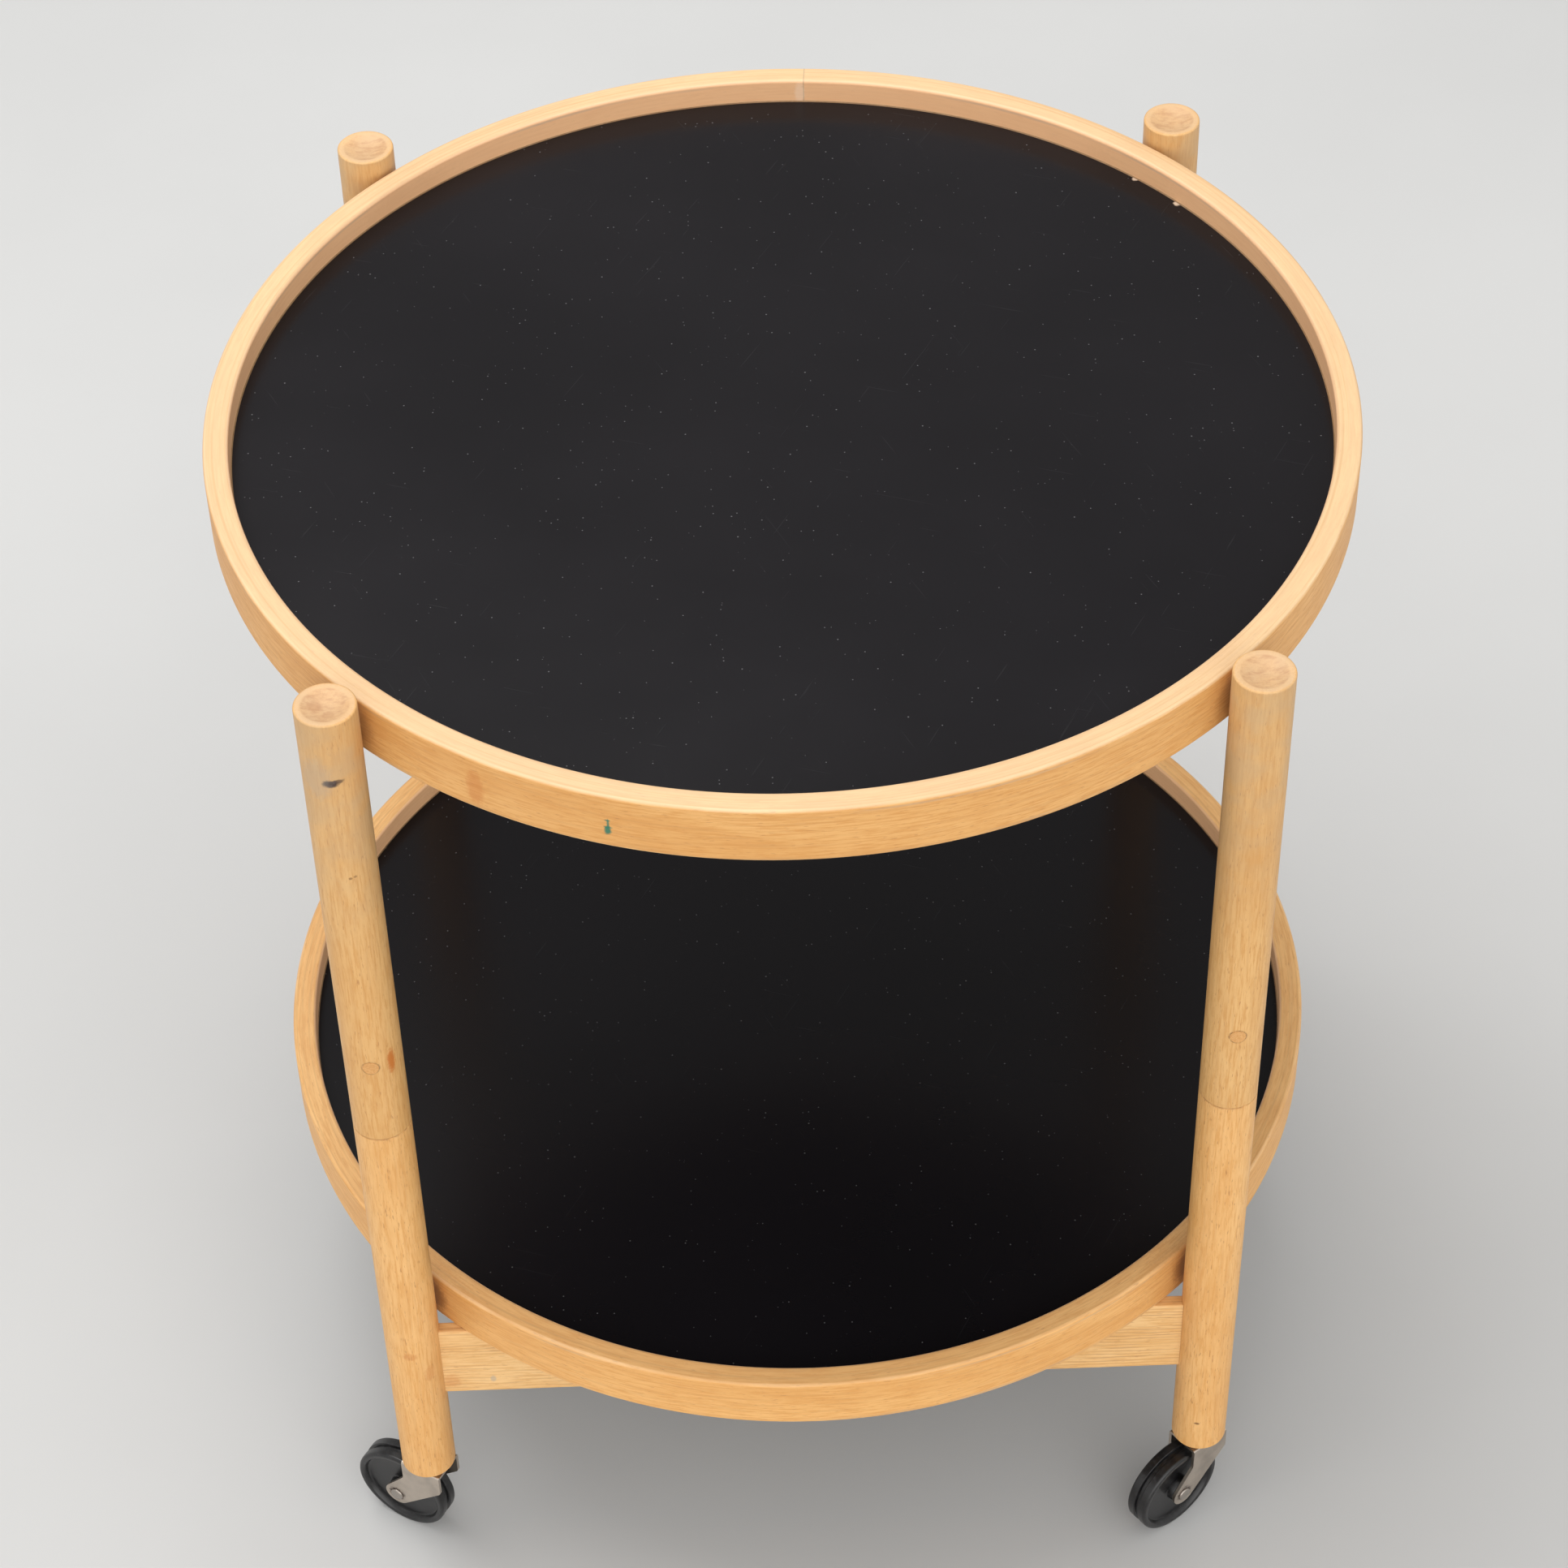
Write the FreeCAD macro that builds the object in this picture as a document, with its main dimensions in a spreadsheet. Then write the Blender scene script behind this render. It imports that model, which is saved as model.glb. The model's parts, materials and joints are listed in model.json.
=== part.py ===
"""Serving trolley: two loose round trays between four round legs on swivel casters.

Millimetres, +Z up. The origin is on the floor, under the middle of the trays.
Each leg is two turned halves on a spigot, so the frame can fold once both trays are lifted out.
"""
import FreeCAD, Part
import math
import os
import Sketcher

# Driving dimensions, kept in the document's spreadsheet
SIZES = {
    # Trays: a bent rim with a grooved-in board, alike above and below so that the tray can be turned over
    "tray_radius": 250.0,
    "rim_thickness": 11.0,
    "rim_height": 28.0,
    "rim_edge_radius": 1.6,
    "groove_depth": 5.0,
    "core_thickness": 3.0,
    "laminate_thickness": 0.6,
    # Legs
    "leg_radius": 13.0,
    "leg_half_length": 253.0,
    "leg_rise": 7.0,
    "leg_clearance": 2.2,
    "leg_edge": 0.7,
    "dish_margin": 2.6,
    "dish_depth": 2.2,
    # Spigot that joins the two halves of a leg, and its cross pin
    "spigot_radius": 7.0,
    "spigot_above_seam": 64.0,
    "spigot_below_seam": 46.0,
    "spigot_edge": 1.0,
    "spigot_end_gap": 2.0,
    "pin_radius": 4.0,
    "pin_above_seam": 48.0,
    "pin_inset": 0.15,
    # Bars, which carry the trays, and their tenons
    "bar_thickness": 6.4,
    "bar_height": 46.0,
    "bar_edge_radius": 1.0,
    "lower_bar_rise": 55.0,
    "tenon_thickness": 4.4,
    "tenon_height": 30.0,
    "tenon_depth": 15.0,
    # Fits
    "glue_gap": 0.04,
    "running_gap": 0.06,
    "cut_overrun": 1.0,
    # Casters
    "wheel_radius": 24.5,
    "wheel_half_width": 6.0,
    "wheel_edge": 1.4,
    "tread_groove_half_width": 1.3,
    "tread_groove_depth": 1.5,
    "dish_rim_width": 3.2,
    "wheel_dish_depth": 2.8,
    "hub_radius": 6.2,
    "hub_half_width": 6.9,
    "wheel_headroom": 6.5,
    "trail": 15.8,
    "axle_radius": 2.2,
    "axle_head_radius": 3.3,
    "axle_head_height": 1.1,
    "fork_half_gap": 7.2,
    "fork_wall": 1.6,
    "fork_bend_radius": 1.2,
    "fork_lead": 10.8,
    "fork_tail": 10.8,
    "fork_skirt": 12.5,
    "fork_shoulder": 12.5,
    "fork_corner_radius": 3.0,
    "fork_boss_radius": 6.6,
    "sleeve_radius": 5.6,
    "sleeve_length": 38.0,
    "flange_radius": 10.5,
    "flange_height": 1.4,
    "stem_radius": 3.8,
    "stem_head_radius": 4.5,
    "stem_head_height": 3.0,
    "stem_foot_radius": 6.5,
    "stem_foot_height": 1.8,
    "swivel_gap": 0.3,
}

# Corners of the frame: name, side along X, side along Y, and the way the caster trails, in degrees from +X
CORNERS = [
    ("front_left", -1, -1, 149.0),
    ("front_right", 1, -1, 218.0),
    ("back_left", -1, 1, 162.0),
    ("back_right", 1, 1, 20.0),
]

# Where the fork's round end starts and stops, in degrees, before the sketch's tangents settle it
BOSS_ARC_GUESS = (225.0, 360.0)

doc = FreeCAD.newDocument("ServingTrolley")
sheet = doc.addObject("Spreadsheet::Sheet", "Sizes")
for row, (alias, size) in enumerate(SIZES.items(), start=1):
    sheet.set(f"A{row}", alias)
    sheet.set(f"B{row}", str(size))
    sheet.setAlias(f"B{row}", alias)
for offset, (corner, side_x, side_y, trail_angle) in enumerate(CORNERS):
    row = len(SIZES) + 1 + offset
    sheet.set(f"A{row}", f"trail_angle_{corner}")
    sheet.set(f"B{row}", str(trail_angle))
    sheet.setAlias(f"B{row}", f"trail_angle_{corner}")
doc.recompute()


class Size:
    """A length that keeps the spreadsheet expression it is worked out from beside its value."""

    def __init__(self, text, value):
        self.text = text
        self.value = value

    def joined(self, sign, other, value):
        text = other.text if isinstance(other, Size) else repr(other)
        return Size(f"({self.text} {sign} {text})", value)

    def __add__(self, other):
        return self.joined("+", other, self.value + number(other))

    def __sub__(self, other):
        return self.joined("-", other, self.value - number(other))

    def __mul__(self, other):
        return self.joined("*", other, self.value * number(other))

    def __truediv__(self, other):
        return self.joined("/", other, self.value / number(other))

    def __neg__(self):
        return Size(f"(0 - {self.text})", -self.value)


def number(size):
    return size.value if isinstance(size, Size) else size


class Cells:
    """The sheet's cells by name."""

    def __getattr__(self, alias):
        return Size(f"Sizes.{alias}", float(sheet.get(alias)))


size = Cells()
ZERO = Size("0", 0.0)

# Levels and places worked out from the driving dimensions
leg_place = (size.tray_radius + size.leg_clearance + size.leg_radius) / math.sqrt(2)
leg_bottom = size.wheel_radius * 2 + size.wheel_headroom
seam = leg_bottom + size.leg_half_length
leg_top = seam + size.leg_half_length
upper_tray = leg_top - size.leg_rise - size.rim_height
lower_bar = leg_bottom + size.lower_bar_rise
lower_tray = lower_bar + size.bar_height
upper_bar = upper_tray - size.bar_height
tenon_rise = (size.bar_height - size.tenon_height) / 2
rim_inside = size.tray_radius - size.rim_thickness
board_half = size.core_thickness / 2 + size.laminate_thickness
sleeve_bore = size.sleeve_radius + size.glue_gap
stem_bore = size.stem_radius + size.running_gap
fork_top = leg_bottom - size.flange_height - size.swivel_gap
fork_half = size.fork_half_gap + size.fork_wall

pieces = []


def piece(obj, label):
    """Keeps an object as a sub-part under the label that names its file."""
    obj.Label = label
    pieces.append(obj)
    return obj


def place(obj, x=ZERO, y=ZERO, z=ZERO, turn=None):
    """Puts an object at a place worked out from the sheet, turned about +Z."""
    if turn is not None:
        obj.Placement.Rotation = FreeCAD.Rotation(FreeCAD.Vector(0, 0, 1), turn.value)
        obj.setExpression("Placement.Rotation.Angle", turn.text)
    for axis, at in zip("xyz", (x, y, z)):
        obj.setExpression(f"Placement.Base.{axis}", at.text)
    return obj


def cylinder(name, radius, height, along="z"):
    """A cylinder from its place along +X, +Y or +Z."""
    obj = doc.addObject("Part::Cylinder", name)
    obj.setExpression("Radius", radius.text)
    obj.setExpression("Height", height.text)
    if along != "z":
        direction = FreeCAD.Vector(1, 0, 0) if along == "x" else FreeCAD.Vector(0, 1, 0)
        obj.Placement.Rotation = FreeCAD.Rotation(FreeCAD.Vector(0, 0, 1), direction)
    return obj


def box(name, length, width, height):
    obj = doc.addObject("Part::Box", name)
    for side, of_side in (("Length", length), ("Width", width), ("Height", height)):
        obj.setExpression(side, of_side.text)
    return obj


def fuse(name, shapes):
    obj = doc.addObject("Part::MultiFuse", name)
    obj.Shapes = shapes
    return obj


def cut(name, base, tools):
    """Takes the tools away from the base."""
    obj = doc.addObject("Part::Cut", name)
    obj.Base = base
    obj.Tool = tools[0] if len(tools) == 1 else fuse(f"{name}_tools", tools)
    return obj


def plane(body, role):
    for feature in body.Origin.OriginFeatures:
        if feature.Role == role:
            return feature


def outline(body, role, points):
    """A closed sketch of straight lines, each corner held to the sketch's origin by sizes of the sheet."""
    sketch = body.newObject("Sketcher::SketchObject", f"{body.Name}_outline")
    sketch.AttachmentSupport = (plane(body, role), [""])
    sketch.MapMode = "FlatFace"
    corners = [FreeCAD.Vector(number(x), number(y), 0) for x, y in points]
    count = len(corners)
    for index in range(count):
        sketch.addGeometry(Part.LineSegment(corners[index], corners[(index + 1) % count]))
    for index in range(count):
        sketch.addConstraint(Sketcher.Constraint("Coincident", index, 2, (index + 1) % count, 1))
    for index, point in enumerate(points):
        for way, axis, at in (("DistanceX", -2, point[0]), ("DistanceY", -1, point[1])):
            if at is ZERO:
                sketch.addConstraint(Sketcher.Constraint("PointOnObject", index, 1, axis))
            else:
                rule = sketch.addConstraint(Sketcher.Constraint(way, -1, 1, index, 1, at.value))
                sketch.setExpression(f"Constraints[{rule}]", at.text)
    return sketch


def turned(name, role, points):
    """A body turned about its upright sketch axis: +Z for the XZ plane, +Y for the XY plane."""
    body = doc.addObject("PartDesign::Body", name)
    sketch = outline(body, role, points)
    solid = body.newObject("PartDesign::Revolution", f"{name}_turned")
    solid.Profile = sketch
    solid.ReferenceAxis = (sketch, ["V_Axis"])
    solid.Angle = 360
    doc.recompute()
    return body


def rounded(body, radius, wanted):
    """Rounds the edges of a body's tip that the test picks."""
    tip = body.Tip
    names = []
    for index, edge in enumerate(tip.Shape.Edges, start=1):
        if wanted(edge):
            names.append(f"Edge{index}")
    fillet = body.newObject("PartDesign::Fillet", f"{body.Name}_rounded")
    fillet.Base = (tip, names)
    fillet.setExpression("Radius", radius.text)
    doc.recompute()
    return body


def is_circle(edge):
    return isinstance(edge.Curve, Part.Circle)


def tray(name, level):
    """A bent rim with an inner groove, and the board in it: a core with a laminate on each face."""
    middle = size.rim_height / 2
    groove_low = middle - board_half - size.glue_gap
    groove_high = middle + board_half + size.glue_gap
    groove_bottom = rim_inside + size.groove_depth
    section = [
        (rim_inside, ZERO),
        (size.tray_radius, ZERO),
        (size.tray_radius, size.rim_height),
        (rim_inside, size.rim_height),
        (rim_inside, groove_high),
        (groove_bottom, groove_high),
        (groove_bottom, groove_low),
        (rim_inside, groove_low),
    ]
    rim = turned(f"{name}_rim", "XZ_Plane", section)
    ends = (0.0, size.rim_height.value)
    rounded(rim, size.rim_edge_radius, lambda edge: is_circle(edge) and edge.Curve.Center.z in ends)
    piece(place(rim, z=level), f"{name}_rim")
    board_radius = groove_bottom - size.glue_gap
    low = level + middle - board_half
    layers = [
        ("bottom_laminate", size.laminate_thickness, low),
        ("board_core", size.core_thickness, low + size.laminate_thickness),
        ("top_laminate", size.laminate_thickness, low + size.laminate_thickness + size.core_thickness),
    ]
    for layer, thickness, at in layers:
        piece(place(cylinder(f"{name}_{layer}", board_radius, thickness), z=at), f"{name}_{layer}")


def leg_upper(corner, x, y, inward):
    """Upper leg half: a dished top, a blind hole for the spigot, the pin's hole and the upper bar's mortise."""
    hole = size.spigot_radius + size.glue_gap
    hole_end = size.spigot_above_seam + size.spigot_end_gap
    stick = turned(f"leg_upper_{corner}_stick", "XZ_Plane", [
        (hole, ZERO),
        (size.leg_radius - size.leg_edge, ZERO),
        (size.leg_radius, size.leg_edge),
        (size.leg_radius, size.leg_half_length - size.leg_edge),
        (size.leg_radius - size.leg_edge, size.leg_half_length),
        (ZERO, size.leg_half_length),
        (ZERO, hole_end),
        (hole, hole_end),
    ])
    place(stick, x, y, seam)
    dish_radius = size.leg_radius - size.dish_margin
    ball_radius = (dish_radius * dish_radius + size.dish_depth * size.dish_depth) / (size.dish_depth * 2)
    ball = doc.addObject("Part::Sphere", f"leg_upper_{corner}_dish")
    ball.setExpression("Radius", ball_radius.text)
    place(ball, x, y, leg_top + ball_radius - size.dish_depth)
    through = size.leg_radius * 2 + size.cut_overrun * 2
    pin_hole = cylinder(f"leg_upper_{corner}_pin_hole", size.pin_radius + size.glue_gap, through, "y")
    place(pin_hole, x, y - through / 2, seam + size.pin_above_seam)
    reach = size.leg_radius + size.cut_overrun
    depth = reach - (size.leg_radius - size.tenon_depth) + size.glue_gap
    width = size.tenon_thickness + size.glue_gap * 2
    mortise = box(f"leg_upper_{corner}_mortise", width, depth, size.tenon_height + size.glue_gap * 2)
    start = y + reach - depth if inward > 0 else y - reach
    place(mortise, x - width / 2, start, upper_bar + tenon_rise - size.glue_gap)
    piece(cut(f"leg_upper_{corner}", stick, [ball, pin_hole, mortise]), f"leg_upper_{corner}")


def leg_lower(corner, x, y, inward):
    """Lower leg half: a running hole for the spigot above, the caster's hole below and the lower bar's mortise."""
    hole = size.spigot_radius + size.running_gap
    hole_end = size.leg_half_length - size.spigot_below_seam - size.spigot_end_gap
    sleeve_end = size.sleeve_length + size.glue_gap
    stick = turned(f"leg_lower_{corner}_stick", "XZ_Plane", [
        (sleeve_bore, ZERO),
        (size.leg_radius - size.leg_edge, ZERO),
        (size.leg_radius, size.leg_edge),
        (size.leg_radius, size.leg_half_length - size.leg_edge),
        (size.leg_radius - size.leg_edge, size.leg_half_length),
        (hole, size.leg_half_length),
        (hole, hole_end),
        (ZERO, hole_end),
        (ZERO, sleeve_end),
        (sleeve_bore, sleeve_end),
    ])
    place(stick, x, y, leg_bottom)
    reach = size.leg_radius + size.cut_overrun
    depth = reach - (size.leg_radius - size.tenon_depth) + size.glue_gap
    width = size.tenon_thickness + size.glue_gap * 2
    mortise = box(f"leg_lower_{corner}_mortise", depth, width, size.tenon_height + size.glue_gap * 2)
    start = x + reach - depth if inward > 0 else x - reach
    place(mortise, start, y - width / 2, lower_bar + tenon_rise - size.glue_gap)
    piece(cut(f"leg_lower_{corner}", stick, [mortise]), f"leg_lower_{corner}")


def spigot(corner, x, y):
    """Hardwood spigot across the seam, and the pin that holds it in the upper half."""
    length = size.spigot_above_seam + size.spigot_below_seam
    rod = turned(f"swivel_spigot_{corner}_rod", "XZ_Plane", [
        (ZERO, ZERO),
        (size.spigot_radius - size.spigot_edge, ZERO),
        (size.spigot_radius, size.spigot_edge),
        (size.spigot_radius, length - size.spigot_edge),
        (size.spigot_radius - size.spigot_edge, length),
        (ZERO, length),
    ])
    place(rod, x, y, seam - size.spigot_below_seam)
    through = size.leg_radius * 2 + size.cut_overrun * 2
    at = (x, y - through / 2, seam + size.pin_above_seam)
    hole = cylinder(f"swivel_spigot_{corner}_hole", size.pin_radius + size.glue_gap, through, "y")
    piece(cut(f"swivel_spigot_{corner}", rod, [place(hole, *at)]), f"swivel_spigot_{corner}")
    dowel = place(cylinder(f"spigot_pin_{corner}_dowel", size.pin_radius, through, "y"), *at)
    over = size.pin_radius + size.cut_overrun
    ends = cylinder(f"spigot_pin_{corner}_ends", size.leg_radius - size.pin_inset, over * 2)
    place(ends, x, y, seam + size.pin_above_seam - over)
    pin = doc.addObject("Part::Common", f"spigot_pin_{corner}")
    pin.Base = dowel
    pin.Tool = ends
    piece(pin, f"spigot_pin_{corner}")


def bar(name, along, x, y, level):
    """A bar between two legs, coped to their rounds, with a tenon at each end. Its middle is at x, y."""
    long = leg_place * 2
    half = long / 2
    tenon_long = long - (size.leg_radius - size.tenon_depth) * 2
    sides = [long, size.bar_thickness, size.bar_height]
    tenon_sides = [tenon_long, size.tenon_thickness, size.tenon_height]
    if along == "y":
        sides[:2] = reversed(sides[:2])
        tenon_sides[:2] = reversed(tenon_sides[:2])
    plank = place(box(f"{name}_plank", *sides), x - sides[0] / 2, y - sides[1] / 2, level)
    rounds = []
    for end in (-1, 1):
        mate = cylinder(f"{name}_cope_{'low' if end < 0 else 'high'}", size.leg_radius + size.glue_gap,
                        size.bar_height + size.cut_overrun * 2)
        mate_x = x + half * end if along == "x" else x
        mate_y = y if along == "x" else y + half * end
        rounds.append(place(mate, mate_x, mate_y, level - size.cut_overrun))
    doc.recompute()
    edges = doc.addObject("Part::Fillet", f"{name}_edges")
    edges.Base = plank
    long_edges = []
    for index, edge in enumerate(plank.Shape.Edges, start=1):
        if abs(edge.Length - long.value) < size.glue_gap.value:
            long_edges.append((index, size.bar_edge_radius.value, size.bar_edge_radius.value))
    edges.Edges = long_edges
    coped = cut(f"{name}_coped", edges, rounds)
    tenon = box(f"{name}_tenon", *tenon_sides)
    place(tenon, x - tenon_sides[0] / 2, y - tenon_sides[1] / 2, level + tenon_rise)
    piece(fuse(name, [coped, tenon]), name)


def caster(corner, x, y):
    """Swivel caster: sleeve in the leg, stem riveted to a stamped fork, wheel on an axle rivet."""
    turn = getattr(size, f"trail_angle_{corner}")
    head_room = size.stem_head_height + size.swivel_gap * 2
    head_bore = size.stem_head_radius + size.running_gap
    chamber = size.sleeve_length - size.fork_wall - head_room
    sleeve = turned(f"caster_sleeve_{corner}", "XZ_Plane", [
        (stem_bore, -size.flange_height),
        (size.flange_radius, -size.flange_height),
        (size.flange_radius, ZERO),
        (size.sleeve_radius, ZERO),
        (size.sleeve_radius, size.sleeve_length),
        (ZERO, size.sleeve_length),
        (ZERO, chamber + head_room),
        (head_bore, chamber + head_room),
        (head_bore, chamber),
        (stem_bore, chamber),
    ])
    piece(place(sleeve, x, y, leg_bottom), f"caster_sleeve_{corner}")
    plate_low = fork_top - size.fork_wall
    foot_low = plate_low - size.stem_foot_height
    stem_top = leg_bottom + chamber + size.swivel_gap
    stem = turned(f"caster_stem_{corner}", "XZ_Plane", [
        (ZERO, ZERO),
        (size.stem_foot_radius, ZERO),
        (size.stem_foot_radius, size.stem_foot_height),
        (size.stem_radius, size.stem_foot_height),
        (size.stem_radius, stem_top - foot_low),
        (size.stem_head_radius, stem_top - foot_low),
        (size.stem_head_radius, stem_top - foot_low + size.stem_head_height),
        (ZERO, stem_top - foot_low + size.stem_head_height),
    ])
    piece(place(stem, x, y, foot_low), f"caster_stem_{corner}")
    piece(place(fork(corner), x, y, ZERO, turn), f"caster_fork_{corner}")
    radians = math.radians(turn.value)
    text = f"{turn.text} * 1 deg"
    along_x = Size(f"(Sizes.trail * cos({text}))", size.trail.value * math.cos(radians))
    along_y = Size(f"(Sizes.trail * sin({text}))", size.trail.value * math.sin(radians))
    piece(place(wheel(corner), x + along_x, y + along_y, size.wheel_radius, turn), f"caster_wheel_{corner}")
    piece(place(axle(corner), x + along_x, y + along_y, size.wheel_radius, turn), f"caster_axle_{corner}")


def fork(corner):
    """Inverted U stamped from plate: two cheeks that lean back to the axle, under a plate with the stem's hole."""
    body = doc.addObject("PartDesign::Body", f"caster_fork_{corner}")
    axle_hole = size.axle_radius + size.glue_gap
    side = cheek_outline(body)
    blank = body.newObject("PartDesign::Pad", f"{body.Name}_blank")
    blank.Profile = side
    blank.Midplane = True
    blank.setExpression("Length", (fork_half * 2).text)
    doc.recompute()
    rounded(body, size.fork_corner_radius, on_cheek_corner)
    rounded(body, size.fork_bend_radius, on_fork_bend)
    space = outline(body, "YZ_Plane", [
        (-size.fork_half_gap, ZERO),
        (size.fork_half_gap, ZERO),
        (size.fork_half_gap, fork_top - size.fork_wall),
        (-size.fork_half_gap, fork_top - size.fork_wall),
    ])
    inside = body.newObject("PartDesign::Pocket", f"{body.Name}_inside")
    inside.Profile = space
    inside.Midplane = True
    reach = size.trail + size.fork_boss_radius + size.cut_overrun
    inside.setExpression("Length", (reach * 2).text)
    doc.recompute()
    stem_hole = size.stem_radius + size.glue_gap
    cut_round(body, "XY_Plane", "stem", ZERO, ZERO, stem_hole, fork_top + size.cut_overrun)
    cut_round(body, "XZ_Plane", "axle", size.trail, size.wheel_radius, axle_hole, fork_half + size.cut_overrun)
    return body


def on_fork_bend(edge):
    """The two long upper edges of the fork's blank, where the plate is bent."""
    box_of = edge.BoundBox
    near = size.glue_gap.value
    flat = box_of.ZLength < near and box_of.YLength < near
    return flat and abs(box_of.ZMax - fork_top.value) < near and abs(abs(box_of.YMax) - fork_half.value) < near


def on_cheek_corner(edge):
    """The two edges across the fork's blank at the lower end of its upright sides."""
    near = size.glue_gap.value
    corners = ((-size.fork_lead, fork_top - size.fork_skirt), (size.fork_tail, fork_top - size.fork_shoulder))
    for at_x, at_z in corners:
        away = [abs(end.X - at_x.value) + abs(end.Z - at_z.value) for end in edge.Vertexes]
        if max(away) < near:
            return True
    return False


def cheek_outline(body):
    """Side of the fork: square under the leg, leaning back to a round boss about the axle."""
    sketch = body.newObject("Sketcher::SketchObject", f"{body.Name}_cheek")
    sketch.AttachmentSupport = (plane(body, "XZ_Plane"), [""])
    sketch.MapMode = "FlatFace"
    corners = [
        (-size.fork_lead, fork_top - size.fork_skirt),
        (-size.fork_lead, fork_top),
        (size.fork_tail, fork_top),
        (size.fork_tail, fork_top - size.fork_shoulder),
    ]
    spots = [FreeCAD.Vector(px.value, pz.value, 0) for px, pz in corners]
    middle = FreeCAD.Vector(size.trail.value, size.wheel_radius.value, 0)
    boss = size.fork_boss_radius.value
    low_angle, high_angle = (math.radians(angle) for angle in BOSS_ARC_GUESS)
    low = middle + FreeCAD.Vector(math.cos(low_angle), math.sin(low_angle), 0) * boss
    high = middle + FreeCAD.Vector(math.cos(high_angle), math.sin(high_angle), 0) * boss
    for start, end in ((0, 1), (1, 2), (2, 3)):
        sketch.addGeometry(Part.LineSegment(spots[start], spots[end]))
    sketch.addGeometry(Part.LineSegment(spots[3], high))
    round_end = Part.Circle(middle, FreeCAD.Vector(0, 0, 1), boss)
    sketch.addGeometry(Part.ArcOfCircle(round_end, low_angle, high_angle))
    sketch.addGeometry(Part.LineSegment(low, spots[0]))
    for first, second in ((0, 1), (1, 2), (2, 3)):
        sketch.addConstraint(Sketcher.Constraint("Coincident", first, 2, second, 1))
    sketch.addConstraint(Sketcher.Constraint("Coincident", 5, 2, 0, 1))
    sketch.addConstraint(Sketcher.Constraint("Tangent", 3, 2, 4, 2))
    sketch.addConstraint(Sketcher.Constraint("Tangent", 4, 1, 5, 1))
    held = [(0, 1, corners[0]), (0, 2, corners[1]), (1, 2, corners[2]), (2, 2, corners[3]),
            (4, 3, (size.trail, size.wheel_radius))]
    for line, end, (px, pz) in held:
        for way, at in (("DistanceX", px), ("DistanceY", pz)):
            rule = sketch.addConstraint(Sketcher.Constraint(way, -1, 1, line, end, at.value))
            sketch.setExpression(f"Constraints[{rule}]", at.text)
    rule = sketch.addConstraint(Sketcher.Constraint("Radius", 4, boss))
    sketch.setExpression(f"Constraints[{rule}]", size.fork_boss_radius.text)
    return sketch


def cut_round(body, role, name, x, y, radius, reach):
    """A round hole straight through a body, reaching both ways from an origin plane."""
    sketch = body.newObject("Sketcher::SketchObject", f"{body.Name}_{name}_circle")
    sketch.AttachmentSupport = (plane(body, role), [""])
    sketch.MapMode = "FlatFace"
    middle = FreeCAD.Vector(x.value, y.value, 0)
    sketch.addGeometry(Part.Circle(middle, FreeCAD.Vector(0, 0, 1), radius.value))
    for way, axis, at in (("DistanceX", -2, x), ("DistanceY", -1, y)):
        if at is ZERO:
            sketch.addConstraint(Sketcher.Constraint("PointOnObject", 0, 3, axis))
        else:
            rule = sketch.addConstraint(Sketcher.Constraint(way, -1, 1, 0, 3, at.value))
            sketch.setExpression(f"Constraints[{rule}]", at.text)
    rule = sketch.addConstraint(Sketcher.Constraint("Radius", 0, radius.value))
    sketch.setExpression(f"Constraints[{rule}]", radius.text)
    hole = body.newObject("PartDesign::Pocket", f"{body.Name}_{name}_hole")
    hole.Profile = sketch
    hole.Midplane = True
    hole.setExpression("Length", (reach * 2).text)
    doc.recompute()


def wheel(corner):
    """Moulded wheel with a grooved tread, dished sides and a hub a little wider than the tread."""
    half = size.wheel_half_width
    dish_outer = size.wheel_radius - size.dish_rim_width
    web = half - size.wheel_dish_depth
    bore = size.axle_radius + size.running_gap
    groove = size.tread_groove_half_width
    upper = [
        (bore, size.hub_half_width),
        (size.hub_radius, size.hub_half_width),
        (size.hub_radius, web),
        (dish_outer - size.wheel_dish_depth / 2, web),
        (dish_outer, half),
        (size.wheel_radius - size.wheel_edge, half),
        (size.wheel_radius, half - size.wheel_edge),
        (size.wheel_radius, groove),
        (size.wheel_radius - size.tread_groove_depth, groove),
    ]
    lower = [(radius, -width) for radius, width in reversed(upper)]
    return turned(f"caster_wheel_{corner}", "XY_Plane", upper + lower)


def axle(corner):
    """Axle rivet with a head outside each cheek."""
    inner = fork_half + size.glue_gap
    outer = inner + size.axle_head_height
    upper = [
        (ZERO, outer),
        (size.axle_head_radius, outer),
        (size.axle_head_radius, inner),
        (size.axle_radius, inner),
    ]
    lower = [(radius, -width) for radius, width in reversed(upper)]
    return turned(f"caster_axle_{corner}", "XY_Plane", upper + lower)


tray("upper_tray", upper_tray)
tray("lower_tray", lower_tray)
for corner, side_x, side_y, trail_angle in CORNERS:
    x = leg_place * side_x
    y = leg_place * side_y
    leg_upper(corner, x, y, -side_y)
    leg_lower(corner, x, y, -side_x)
    spigot(corner, x, y)
    caster(corner, x, y)
for name, side in (("front", -1), ("back", 1)):
    bar(f"lower_bar_{name}", "x", ZERO, leg_place * side, lower_bar)
for name, side in (("left", -1), ("right", 1)):
    bar(f"upper_bar_{name}", "y", leg_place * side, ZERO, upper_bar)
doc.recompute()

for obj in doc.Objects:
    if "Invalid" in obj.State or "Error" in obj.State:
        raise RuntimeError(f"{obj.Name} did not build: {obj.State}")
for obj in pieces:
    if obj.Shape.isNull() or not obj.Shape.isValid() or not obj.Shape.Solids:
        raise RuntimeError(f"{obj.Label} has no sound shape")
os.makedirs("parts", exist_ok=True)
for obj in pieces:
    obj.Shape.exportStep(f"parts/{obj.Label}.step")
print(len(pieces), "pieces written")
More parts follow.
